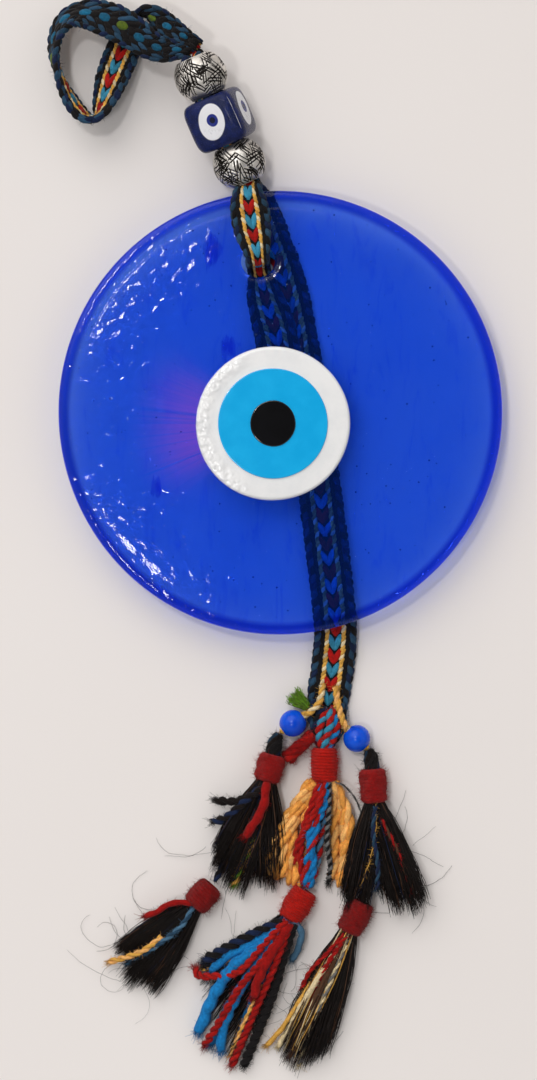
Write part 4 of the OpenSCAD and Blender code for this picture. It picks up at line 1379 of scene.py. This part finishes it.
HAIR = {"hair": 0.94, "brown": 0.04, "navy": 0.02}
LEFT_END, LEFT_LOW_END = np.array([-4.11, -108.77, 4.4]), np.array([-25.53, -145.68, 3.6])
CENTRE_LOW_END = np.array([2.55, -149.61, 3.6])
RIGHT_END, RIGHT_LOW_END = np.array([27.86, -115.04, 5.0]), np.array([20.17, -153.5, 3.6])
FRINGES = [
    ("left_upper_hair", LEFT_END, (232, 258), (27, 31, 34, 34), (1.4, 6.4), 900, "left_tassel",
     "left_upper_fringe", 121),
    ("left_upper_hair_right", LEFT_END, (259, 280), (33, 33, 32), (1.4, 5.4), 560, "left_tassel", None, 127),
    ("left_lower_hair", LEFT_LOW_END, (207, 247), (29, 30, 31, 30), (0.3, 5.0), 1300, "left_lower_tassel",
     "left_lower_fringe", 122),
    ("right_upper_hair", RIGHT_END, (250, 267), (33, 34, 32), (4.4, 8.0), 620, "right_tassel",
     "right_upper_fringe", 123),
    ("right_upper_hair_right", RIGHT_END, (273, 299), (30, 33, 34, 33), (4.2, 8.2), 820, "right_tassel",
     None, 124),
    ("right_lower_hair", RIGHT_LOW_END, (237, 260), (41, 43, 43, 36), (0.3, 5.4), 1100,
     "right_lower_tassel", "right_lower_fringe", 125),
    ("centre_lower_hair", CENTRE_LOW_END, (214, 250), (33, 36, 44, 47), (0.3, 3.2), 360,
     "centre_lower_tassel", "centre_lower_yarns", 126),
]
for name, start, spread, reach, heights, count, body, node, seed in FRINGES:
    paths = fringe_paths(start, spread, reach, heights, count, seed)
    hair_piece(name, paths, 0.16, HAIR, body, seed + 7, node)
soft_paths = fringe_paths(RIGHT_LOW_END + [-0.4, 0.6, 1.6], (240, 250), (36, 40, 40, 36), (1.5, 6.5), 170,
                          131, bundle=1.6, locks=6)
hair_piece("right_lower_tan_wool", soft_paths, 0.26,
           {"gold": 0.3, "cream": 0.25, "brown": 0.3, "hair": 0.15},
           "right_lower_tassel", 132, None, yarn_wool)
soft_paths = fringe_paths(LEFT_END + [0, 0, 1.0], (266, 276), (32, 33), (1.0, 4.0), 60, 133, bundle=1.2,
                          locks=5)
hair_piece("left_upper_fine_hair", soft_paths, 0.09, HAIR, "left_tassel", 134)

# %% [markdown]
# ## Loose yarns among the hair
# Coloured yarns lie in the fringes: thick blue and red ones under the middle tassel, a blue-grey
# plied yarn and thin red and gold strands at the sides. A few listed points per yarn set where it
# lies.

# %% Loose yarns
def loose_yarn(name, knots, diameter, colours, body, slot, strands=None, pitch=5.6, fray=0.0, seed=1):
    """A yarn through a few points: two plies when two colours are named, else soft unspun wool."""
    strands = strands or len(colours)
    path = smooth_path(knots)
    path[:, 2] = np.maximum(path[:, 2], diameter * 0.55 + 0.05)
    piece = yarn_piece(name, path, diameter, colours, body, slot, strands, pitch, fray, seed)
    length = path_length(path)
    return piece


YARNS = [
    ("left_navy_spike", [[-4.4, -110, 6.5], [-9, -113.2, 6.6], [-14, -114.6, 5.2], [-19.2, -114.6, 3.8]],
     2.4, ["hair", "hair"], "left_tassel", "blue_yarn"),
    ("left_navy_curl", [[-4.8, -110, 5.8], [-10.5, -114.6, 6.6], [-16, -119.5, 4.6], [-19.6, -120.8, 3.2]],
     2.4, ["navy", "hair"], "left_tassel", "blue_yarn"),
    ("left_red_strand", [[-4, -109, 6.8], [-4.9, -115.5, 8.0], [-7.4, -120.5, 7.8], [-10.4, -125, 6.2]],
     2.8, ["crimson"], "left_tassel", "red_wool"),
    ("left_gold_strand", [[-6.4, -122, 4.2], [-8.6, -128, 5.0], [-10.8, -133, 4.4], [-13.6, -139.6, 3.2]],
     2.0, ["gold", "lime"], "left_tassel", "gold_yarn"),
    ("left_blue_grey_yarn", [[-25.6, -145.8, 5.6], [-29.4, -151.6, 6.4], [-37, -157.6, 5.4],
                             [-45.4, -163.0, 3.0]], 1.7, ["blue_grey", "slate"], "left_lower_tassel",
     "blue_yarn"),
    ("left_lower_gold_end", [[-35, -154.6, 5.4], [-40, -158.4, 6.0], [-45, -160.6, 4.8],
                             [-50.6, -162.4, 2.4]], 1.8, ["peach", "gold"], "left_lower_tassel",
     "gold_yarn"),
    ("left_lower_red", [[-26, -144.6, 5.8], [-31.8, -144.6, 6.0], [-36.6, -147.4, 4.8],
                        [-40.2, -149.0, 3.4]], 1.9, ["crimson"], "left_lower_tassel", "red_wool"),
    ("right_navy_yarn", [[28.0, -116, 7.8], [27.4, -124, 9.2], [28.8, -133, 8.4], [28.6, -140.6, 7.0]], 1.5,
     ["navy", "slate"], "right_tassel", "blue_yarn"),
    ("right_gold_strand", [[28.2, -116, 7.8], [28.0, -124, 8.8], [26.4, -132, 8.0], [23.4, -140, 6.4]], 0.5,
     ["gold", "brown"], "right_tassel", "gold_yarn"),
    ("right_red_thread", [[30, -120, 7.0], [34.6, -129, 7.6], [37.4, -137, 6.6], [38.6, -143, 5.6]], 1.2,
     ["crimson", "brown"], "right_tassel", "red_wool"),
    ("centre_blue_one", [[2.0, -150.0, 6.0], [-6.0, -157.2, 6.6], [-14.0, -163.6, 5.4],
                         [-20.0, -173.0, 3.8], [-24.2, -183.4, 2.2]], 3.8, ["blue"], "centre_lower_tassel",
     "blue_yarn"),
    ("centre_blue_two", [[2.4, -150.4, 6.0], [-4.4, -159.4, 6.0], [-11.6, -170.0, 4.6],
                         [-16.6, -181.0, 3.2], [-17.6, -189.0, 1.8]], 3.2, ["blue"], "centre_lower_tassel",
     "blue_yarn"),
    ("centre_blue_three", [[3.0, -150.6, 5.4], [-2.6, -161.4, 5.6], [-8.0, -173.6, 3.8],
                           [-12.8, -187.0, 1.6]], 2.6, ["deep_blue"], "centre_lower_tassel", "blue_yarn"),
    ("centre_blue_four", [[1.4, -149.8, 5.6], [-8.0, -156.6, 6.0], [-15.4, -160.4, 4.6],
                          [-20.6, -165.4, 2.6]], 2.8, ["blue"], "centre_lower_tassel", "blue_yarn"),
    ("centre_blue_five", [[2.4, -150.4, 4.6], [-6.6, -162.6, 4.4], [-14.6, -174.6, 3.0],
                          [-20.6, -187.0, 1.6]], 3.0, ["deep_blue"], "centre_lower_tassel", "blue_yarn"),
    ("centre_blue_hook", [[3.8, -149.8, 5.6], [6.2, -153.0, 5.2], [5.6, -157.6, 3.4], [3.6, -162.0, 1.6]],
     2.2, ["blue_grey"], "centre_lower_tassel", "blue_yarn"),
    ("centre_red_one", [[1.8, -149.6, 7.4], [-5.0, -156.8, 8.0], [-11.8, -164.4, 7.0], [-18.6, -166.2, 5.0],
                        [-23.8, -166.4, 3.2], [-25.0, -164.2, 2.2]], 2.2, ["red", "red"],
     "centre_lower_tassel", "red_wool"),
    ("centre_red_two", [[2.4, -150.6, 7.6], [-4.6, -160.6, 8.0], [-11.8, -169.3, 6.6], [-16.8, -178.0, 5.0],
                        [-22.4, -187.4, 1.8]], 2.2, ["red", "crimson"], "centre_lower_tassel", "red_wool"),
    ("centre_red_three", [[3.0, -150.8, 6.8], [-1.8, -163.4, 7.0], [-7.6, -177.0, 4.8],
                          [-11.6, -186.6, 3.2], [-14.4, -193.2, 1.6]], 2.2, ["crimson", "red"],
     "centre_lower_tassel", "red_wool"),
    ("centre_red_blob", [[2.6, -151.0, 7.2], [-2.8, -159.6, 8.0], [-6.4, -166.8, 7.4], [-7.8, -172.4, 6.2]],
     3.0, ["crimson"], "centre_lower_tassel", "red_wool"),
    ("centre_black_one", [[1.4, -149.4, 6.4], [-8.4, -153.6, 6.6], [-17.0, -158.4, 5.0],
                          [-22.4, -161.8, 3.0]], 2.8, ["black", "navy"], "centre_lower_tassel",
     "black_hair"),
    ("centre_black_two", [[4.0, -151.0, 6.0], [0.8, -161.6, 5.6], [-2.6, -173.2, 4.4],
                          [-10.8, -193.2, 1.6]], 2.8, ["black", "black"], "centre_lower_tassel",
     "black_hair"),
    ("centre_black_three", [[3.4, -150.6, 4.8], [-0.6, -163.0, 4.8], [-5.0, -176.0, 3.2],
                            [-8.4, -188.2, 1.6]], 2.4, ["black", "hair"], "centre_lower_tassel",
     "black_hair"),
    ("centre_black_four", [[1.0, -149.6, 5.2], [-9.4, -155.6, 5.4], [-16.0, -160.6, 4.0],
                           [-22.6, -163.8, 1.8]], 2.4, ["navy", "black"], "centre_lower_tassel",
     "black_hair"),
    ("centre_gold_one", [[1.6, -149.8, 4.0], [-9.0, -158.4, 4.4], [-17.4, -162.8, 3.2],
                         [-23.2, -165.0, 1.2]], 1.4, ["gold", "gold"], "centre_lower_tassel", "gold_yarn"),
    ("centre_gold_two", [[2.6, -150.4, 4.8], [-5.2, -168.0, 5.2], [-10.0, -178.6, 4.6],
                         [-14.8, -190.4, 1.2]], 1.2, ["gold", "peach"], "centre_lower_tassel", "gold_yarn"),
    ("right_lower_red", [[19.6, -154.2, 6.0], [14.6, -161.4, 7.0], [10.6, -168.6, 5.8], [8.4, -175.0, 4.0]],
     1.5, ["red", "crimson"], "right_lower_tassel", "red_wool"),
    ("right_lower_red_two", [[19.0, -153.6, 6.0], [13.6, -159.6, 6.8], [9.0, -164.6, 5.4],
                             [6.4, -169.8, 3.8]], 1.3, ["crimson", "red"], "right_lower_tassel", "red_wool"),
    ("right_lower_cream", [[19.4, -154.4, 5.6], [10.6, -167.6, 6.4], [4.6, -178.0, 4.6],
                           [-0.6, -187.8, 1.6]], 1.7, ["cream"], "right_lower_tassel", "gold_yarn"),
    ("right_lower_brown", [[19.8, -154.8, 5.4], [12.0, -169.0, 6.2], [6.4, -181.0, 4.4],
                           [2.6, -191.0, 1.6]], 1.6, ["brown"], "right_lower_tassel", "gold_yarn"),
    ("right_lower_grey", [[20.4, -154.6, 5.4], [14.8, -168.0, 6.2], [9.6, -180.4, 4.2], [5.6, -193.0, 1.6]],
     1.4, ["grey", "cream"], "right_lower_tassel", "tweed_yarn"),
    ("right_lower_brown_two", [[19.2, -154.2, 4.6], [8.6, -169.4, 5.0], [1.0, -181.4, 3.2],
                               [-4.0, -187.4, 1.2]], 1.6, ["gold"], "right_lower_tassel", "gold_yarn"),
]
for k, (name, knots, diameter, colours, body, slot) in enumerate(YARNS):
    loose_yarn(name, knots, diameter, colours, body, slot, fray=0.5, seed=200 + k)
print("loose yarns:", len(YARNS))

# %% [markdown]
# ## The middle tassel
# Two orange tufts of two-ply yarn hang from the middle binding, and red, blue and tweed yarns
# join it to the tassel below. A tuft is a bunch of soft yarns that leave one spot, bulge and
# come together again; each is a twisted pair with its own bow.

# %% Orange tufts
def tuft_paths(root, middles, ends, count, seed, heights, step_points=22):
    """Curves through root, a random point between two middles and one between two ends."""
    rng = random_numbers(seed)
    root, middles, ends = np.array(root, float), np.array(middles, float), np.array(ends, float)
    share = (np.arange(count) + rng.uniform(0.2, 0.8, count)) / count
    start = root + rng.normal(0, 0.5, (count, 3)) * [1, 0.2, 1]
    mid = middles[0] + share[:, None] * (middles[1] - middles[0]) + rng.normal(0, 0.7, (count, 2))
    share = np.clip(share + rng.normal(0, 0.12, count), 0, 1)
    end = ends[0] + share[:, None] * (ends[1] - ends[0]) + rng.normal(0, [0.7, 1.6], (count, 2))
    z = rng.uniform(heights[0], heights[1], count)
    t = np.linspace(0, 1, step_points)[None, :, None]
    mid3, end3 = np.column_stack([mid, z]), np.column_stack([end, 0.5 + 0.5 * z])
    control = 2 * mid3 - 0.5 * (start + end3)
    path = (1 - t) ** 2 * start[:, None] + 2 * t * (1 - t) * control[:, None] + t**2 * end3[:, None]
    wave = np.sin(2 * np.pi * (t * rng.uniform(1.0, 2.2, (count, 1, 1)) + rng.uniform(0, 1, (count, 1, 1))))
    path = path + 0.45 * t * wave * heading(rng.uniform(0, 360, count))[:, None]
    path[..., 2] = np.maximum(path[..., 2], 1.5)
    return path


def tuft(name, node, paths, diameter, colours, body, seed):
    """All yarns of a tuft in one piece, each plied from two strands."""
    pairs, radii = zip(*[plied(p, diameter, 2, 9.5, 0.3, seed + k, k) for k, p in enumerate(paths)])
    points, faces, uv = tubes(np.concatenate(pairs), np.concatenate(radii), 8)
    rng = random_numbers(seed)
    rgb = np.array([YARN[c] for c in colours])[rng.integers(0, len(colours), len(points))]
    rgb = rgb * rng.uniform(0.8, 1.15, (len(points), 1))
    tone = np.broadcast_to(rgb[:, None, None], points.shape)
    piece = new_piece(name, placed(points), faces, yarn_wool, body, uv=uv, colours=tone)
    if node:
        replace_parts(piece, node)
    core = np.concatenate(pairs)
    hair, hair_faces, hair_uv = fuzz(points, points - core[:, :, None], 2200, 1.2, 0.045, seed + 5, 1.0)
    tone = np.broadcast_to(np.array(YARN[colours[0]]), hair.shape)
    new_piece(name + "_fuzz", placed(hair), hair_faces, yarn_wool, body, uv=hair_uv, colours=tone)
    return piece


left_tuft = tuft_paths([10.6, -109.0, 3.4], [[-2.6, -125.5], [7.4, -122.5]],
                       [[-2.2, -137.0], [6.0, -139.0]], 6, 301, (1.6, 4.4), 34)
right_tuft = tuft_paths([15.2, -109.0, 3.4], [[16.0, -122.5], [22.0, -122.0]],
                        [[15.0, -138.0], [20.8, -139.0]], 5, 302, (1.6, 4.4), 34)
tuft("left_orange_yarns", "left_orange_tuft", left_tuft, 3.1, ["orange", "peach", "orange"],
     "centre_tassel", 311)
tuft("right_orange_yarns", "right_orange_tuft", right_tuft, 3.1, ["orange", "peach", "orange"],
     "centre_tassel", 312)

# %% Linking yarns
LINKS = [
    ("centre_link_blue_one", [[12.6, -108.4, 5.2], [11.0, -116, 7.2], [10.4, -124, 7.6], [8.2, -132, 6.4],
                              [7.9, -140.2, 4.6]], 2.5, ["blue", "red"], "blue_yarn"),
    ("centre_link_blue_two", [[13.4, -108.4, 5.4], [12.8, -116, 7.0], [8.8, -124.5, 7.4],
                              [9.8, -132.5, 6.2], [8.5, -140.2, 4.4]], 2.6, ["blue", "blue"], "blue_yarn"),
    ("centre_link_red_one", [[12.0, -108.4, 5.6], [9.4, -115.4, 7.0], [7.0, -122.7, 6.6], [6.0, -131, 5.2],
                             [7.3, -140.2, 4.2]], 2.3, ["red", "red"], "red_wool"),
    ("centre_link_red_two", [[13.0, -108.4, 5.8], [12.0, -113.6, 8.2], [9.2, -119.6, 8.4], [5.2, -127, 6.2],
                             [4.6, -133.6, 3.6]], 2.0, ["red", "red"], "red_wool"),
    ("centre_link_red_three", [[13.6, -108.4, 4.6], [14.0, -116.0, 5.6], [12.2, -125.0, 5.2],
                               [11.0, -133, 4.6], [8.8, -140.2, 4.0]], 2.2, ["crimson", "blue_grey"],
     "red_wool"),
    ("centre_link_navy", [[13.2, -108.4, 4.4], [13.0, -117.0, 4.8], [11.6, -126.0, 4.6], [9.6, -134, 4.4],
                          [8.2, -140.2, 3.8]], 2.0, ["navy", "black"], "blue_yarn"),
]
link_pieces = []
for k, (name, knots, diameter, colours, slot) in enumerate(LINKS):
    link_pieces.append(loose_yarn(name, knots, diameter, colours, "centre_tassel", slot, pitch=7.0,
                                  seed=330 + k))
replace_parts(link_pieces[0], "centre_link_yarns")
tweed = loose_yarn("tweed_strand",
                   [[14.4, -108.6, 5.6], [14.4, -117, 6.6], [13.8, -126, 5.4], [14.9, -134, 3.2],
                    [14.4, -139.2, 1.6]], 1.7, ["grey", "black"], "centre_tassel", "tweed_yarn", pitch=2.6,
                   fray=0.8, seed=341)
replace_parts(tweed, "tweed_yarn")
loose_yarn("thin_loop_yarn",
           [[15.6, -108.8, 5.2], [19.6, -110.6, 5.0], [23.4, -116.4, 4.6], [24.4, -124, 4.6],
            [23.0, -133, 4.4]], 0.6, ["grey", "black"], "centre_tassel", "tweed_yarn", seed=342)
left_link = loose_yarn("left_link_strand",
                       [[-6.2, -111.6, 1.6], [-10.5, -120.5, 1.5], [-15.4, -130.5, 1.5],
                        [-19.3, -138.6, 3.0]], 2.0, ["navy", "black"], "left_tassel", "blue_yarn", seed=343)
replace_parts(left_link, "left_link_yarn")
right_link = loose_yarn("right_link_strand", [[27.4, -117.4, 1.5], [26.8, -126, 1.4], [25.6, -135, 1.5],
                                              [24.9, -143.4, 3.0]],
                        2.0, ["navy", "black"], "right_tassel", "blue_yarn", seed=344)
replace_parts(right_link, "right_link_yarn")

# %% [markdown]
# ## Where the braid ends
# Below the plate the braid opens into its yarns. Gold cords turn off to the small beads, black
# necks of twisted wool run from the beads to the side tassels, and red and blue yarns go into
# the middle binding. A green tuft and a fuzzy red tail stick out at the left.

# %% Necks and leads
def neck(name, node, knots, body, seed, extra):
    """Six strands twisted loosely into a thick rope."""
    path = smooth_path(knots, 0.5)
    paths, radii = plied(path, 4.8, 6, 14.0, 0.0, seed)
    swell = 0.5 + 0.5 * np.clip(np.linspace(0, 2.4, len(path)), 0, 1) ** 0.7
    paths = path[None] + (paths - path[None]) * swell[None, :, None]
    points, faces, uv = tubes(paths, radii * 0.8 * swell[None], 8)
    names = ["black", "hair", extra, "black", "navy", "black"]
    tone = np.broadcast_to(np.array([YARN[c] for c in names])[:, None, None], points.shape)
    piece = new_piece(name, placed(points), faces, yarn_wool, body, uv=uv, colours=tone)
    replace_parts(piece, node)
    hair, hair_faces, hair_uv = fuzz(points, points - paths[:, :, None], 900, 2.2, 0.05, seed + 3, 0.9)
    tone = np.broadcast_to(np.array(YARN["hair"]), hair.shape)
    new_piece(name + "_fuzz", placed(hair), hair_faces, yarn_wool, body, uv=hair_uv,
              colours=tone)
    return piece


neck("left_neck_wool", "left_neck", [[-0.3, -94.9, 4.2], [-1.3, -97.0, 4.2], [-1.9, -99.8, 4.1],
                                     [-2.4, -102.4, 4.0]], "left_tassel", 351, "slate")
neck("right_neck_wool", "right_neck", [[26.1, -99.6, 4.3], [26.8, -101.6, 4.4], [27.2, -104.2, 4.6],
                                       [27.3, -106.6, 4.6]], "right_tassel", 352, "slate")
ENDS = [
    ("left_gold_lead", [[12.6, -80.5, 3.2], [11.9, -84.6, 4.4], [10.0, -87.4, 5.2], [7.2, -89.4, 4.6]], 2.1,
     ["gold", "cream"], "gold_yarn"),
    ("right_gold_lead", [[16.4, -81.0, 3.2], [17.2, -86.0, 4.4], [18.4, -90.6, 5.2], [19.8, -93.4, 4.6]],
     2.1, ["gold", "peach"], "gold_yarn"),
    ("end_red_one", [[13.8, -88.0, 3.8], [12.0, -92.0, 5.4], [11.6, -95.6, 5.2], [12.6, -99.6, 4.4]], 2.6,
     ["red", "sky"], "braid"),
    ("end_blue_one", [[14.6, -88.0, 4.0], [14.8, -92.0, 5.8], [13.6, -95.6, 5.8], [13.2, -99.6, 4.8]], 2.6,
     ["sky", "red"], "braid"),
    ("end_red_two", [[15.4, -88.0, 3.8], [16.8, -92.4, 5.0], [15.6, -96.2, 5.0], [13.8, -99.6, 4.4]], 2.5,
     ["red", "blue"], "braid"),
    ("end_blue_two", [[13.2, -87.0, 3.4], [10.8, -91.0, 4.2], [10.6, -95.0, 4.0], [12.2, -99.6, 3.8]], 2.4,
     ["navy", "black"], "braid"),
    ("end_navy_one", [[10.2, -84.8, 3.0], [8.6, -87.6, 3.8], [9.2, -91.4, 3.8], [11.4, -96.2, 3.6]], 1.9,
     ["navy", "slate"], "braid"),
    ("end_slate_one", [[18.2, -86.0, 3.0], [19.0, -90.0, 3.2], [18.2, -94.0, 3.4], [15.0, -98.6, 3.6]], 1.9,
     ["slate", "black"], "braid"),
]
for k, (name, knots, diameter, colours, slot) in enumerate(ENDS):
    loose_yarn(name, knots, diameter, colours, "strap", slot, pitch=4.4, seed=360 + k)

# %% Green tuft and red tail
def blade_paths(start, angle, spread, length, count, seed, z0, z1):
    return fringe_paths(np.array(start, float), (angle - spread, angle + spread), (length, length),
                        (z0, z1), count, seed,
                        bundle=0.8, locks=5, bow=0.6, waver=0.5, rings=8, lead=0.4)


hair_piece("green_tuft_wool", blade_paths([7.8, -86.8, 3.9], 140, 24, 6.4, 190, 381, 2.0, 5.4), 0.16,
           {"lime": 0.75, "green": 0.25}, "strap", 382, "green_tuft", yarn_wool, 0.4)
red_path = smooth_path([[9.6, -94.8, 4.6], [7.4, -97.2, 4.6], [4.8, -99.4, 3.8], [2.0, -102.2, 2.4]], 0.5)
tail_paths, tail_radii = plied(red_path, 3.6, 5, 16.0, 0.7, 391)
tail_points, tail_faces, tail_uv = tubes(tail_paths, tail_radii, 8)
tail_dyes = np.array([YARN[c] for c in ("crimson", "red", "crimson", "red", "crimson")])
tail_tone = np.broadcast_to(tail_dyes[:, None, None], tail_points.shape)
red_tail = new_piece("red_tail_wool", placed(tail_points), tail_faces, yarn_wool, "strap",
                     uv=tail_uv, colours=tail_tone)
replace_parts(red_tail, "red_yarn_tail")
hair, hair_faces, hair_uv = fuzz(tail_points, tail_points - tail_paths[:, :, None], 1500, 2.0, 0.05, 392,
                                 1.0)
new_piece("red_tail_fuzz", placed(hair), hair_faces, yarn_wool, "strap", uv=hair_uv,
          colours=np.broadcast_to(np.array(YARN["crimson"]), hair.shape))

# %% [markdown]
# ## Stray fibres
# Old wool sheds. Short fibres stand off the braid's edges, and long thin hairs wander from the
# tassels over the table. They are made last because they only soften outlines.

# %% Braid fuzz and stray hairs
def braid_fuzz(route, label, body, count, seed):
    """Fibres from the braid's skin: a point on its oval section, leaving along its normal."""
    rng = random_numbers(seed)
    s, a = rng.uniform(0, route.length, count), rng.uniform(0, 2 * np.pi, count)
    inner = route.at(s, 4.8 * np.cos(a), 0.7 * np.sin(a))
    outer = route.at(s, 6.0 * np.cos(a), 1.35 * np.sin(a))
    points, faces, uv = fuzz(outer[:, None], (outer - inner)[:, None], count, 1.5, 0.04, seed + 1, 0.8)
    names = np.array([YARN[c] for c in ("slate", "black", "teal", "navy")])
    tone = np.broadcast_to(names[rng.integers(0, 4, len(points))][:, None, None], points.shape)
    piece = new_piece(label + "_fuzz", placed(points), faces, yarn_wool, body, uv=uv, colours=tone)
    return piece


braid_fuzz(front_route, "front_leg", "strap", 500, 401)
braid_fuzz(back_route, "back_leg", "strap", 900, 402)
loop_fuzz = braid_fuzz(loop_route, "loop", "", 1500, 403)
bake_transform(loop_fuzz)


for (body, slot), parts in FIBRES.items():
    points, faces, uv, tone = join(parts)
    points[:, 2] = np.maximum(points[:, 2], 0.06)
    new_piece(body + "_" + slot + "_fibres", placed(points), faces, yarn_wool, body, uv=uv,
              colours=tone)


def stray_hairs(name, middle, size, count, length, body, seed):
    """Long fine hairs: a start near the tassel, then a heading that turns slowly as it goes."""
    rng = random_numbers(seed)
    start = np.array(middle) + rng.normal(0, 1, (count, 3)) * [size[0], size[1], 0]
    rings = 16
    turn = np.cumsum(rng.normal(0, 9, (count, rings)) + rng.normal(0, 8, (count, 1)), axis=1)
    way = heading(rng.uniform(0, 360, (count, 1)) + turn)
    step = (rng.uniform(0.3, 1.0, count) * length / rings)[:, None, None]
    paths = start[:, None] + np.cumsum(way * step, axis=1)
    paths[..., 2] = 0.3 + 2.5 * rng.uniform(0, 1, (count, 1)) * np.linspace(1, 0.1, rings)
    return hair_piece(name, paths, 0.055, {"hair": 1.0}, body, seed + 1, tip=0.6)


STRAYS = [
    ("left_upper_strays", [-12, -126, 0], (6, 7), 16, 22, "left_tassel", 411),
    ("left_lower_strays", [-38, -160, 0], (6, 5), 20, 22, "left_lower_tassel", 412),
    ("right_upper_strays", [33, -134, 0], (5, 7), 18, 22, "right_tassel", 413),
    ("right_lower_strays", [10, -172, 0], (6, 8), 22, 24, "right_lower_tassel", 414),
    ("centre_lower_strays", [-8, -170, 0], (6, 7), 12, 20, "centre_lower_tassel", 415),
]
for name, middle, size, count, length, body, seed in STRAYS:
    stray_hairs(name, middle, size, count, length, body, seed)
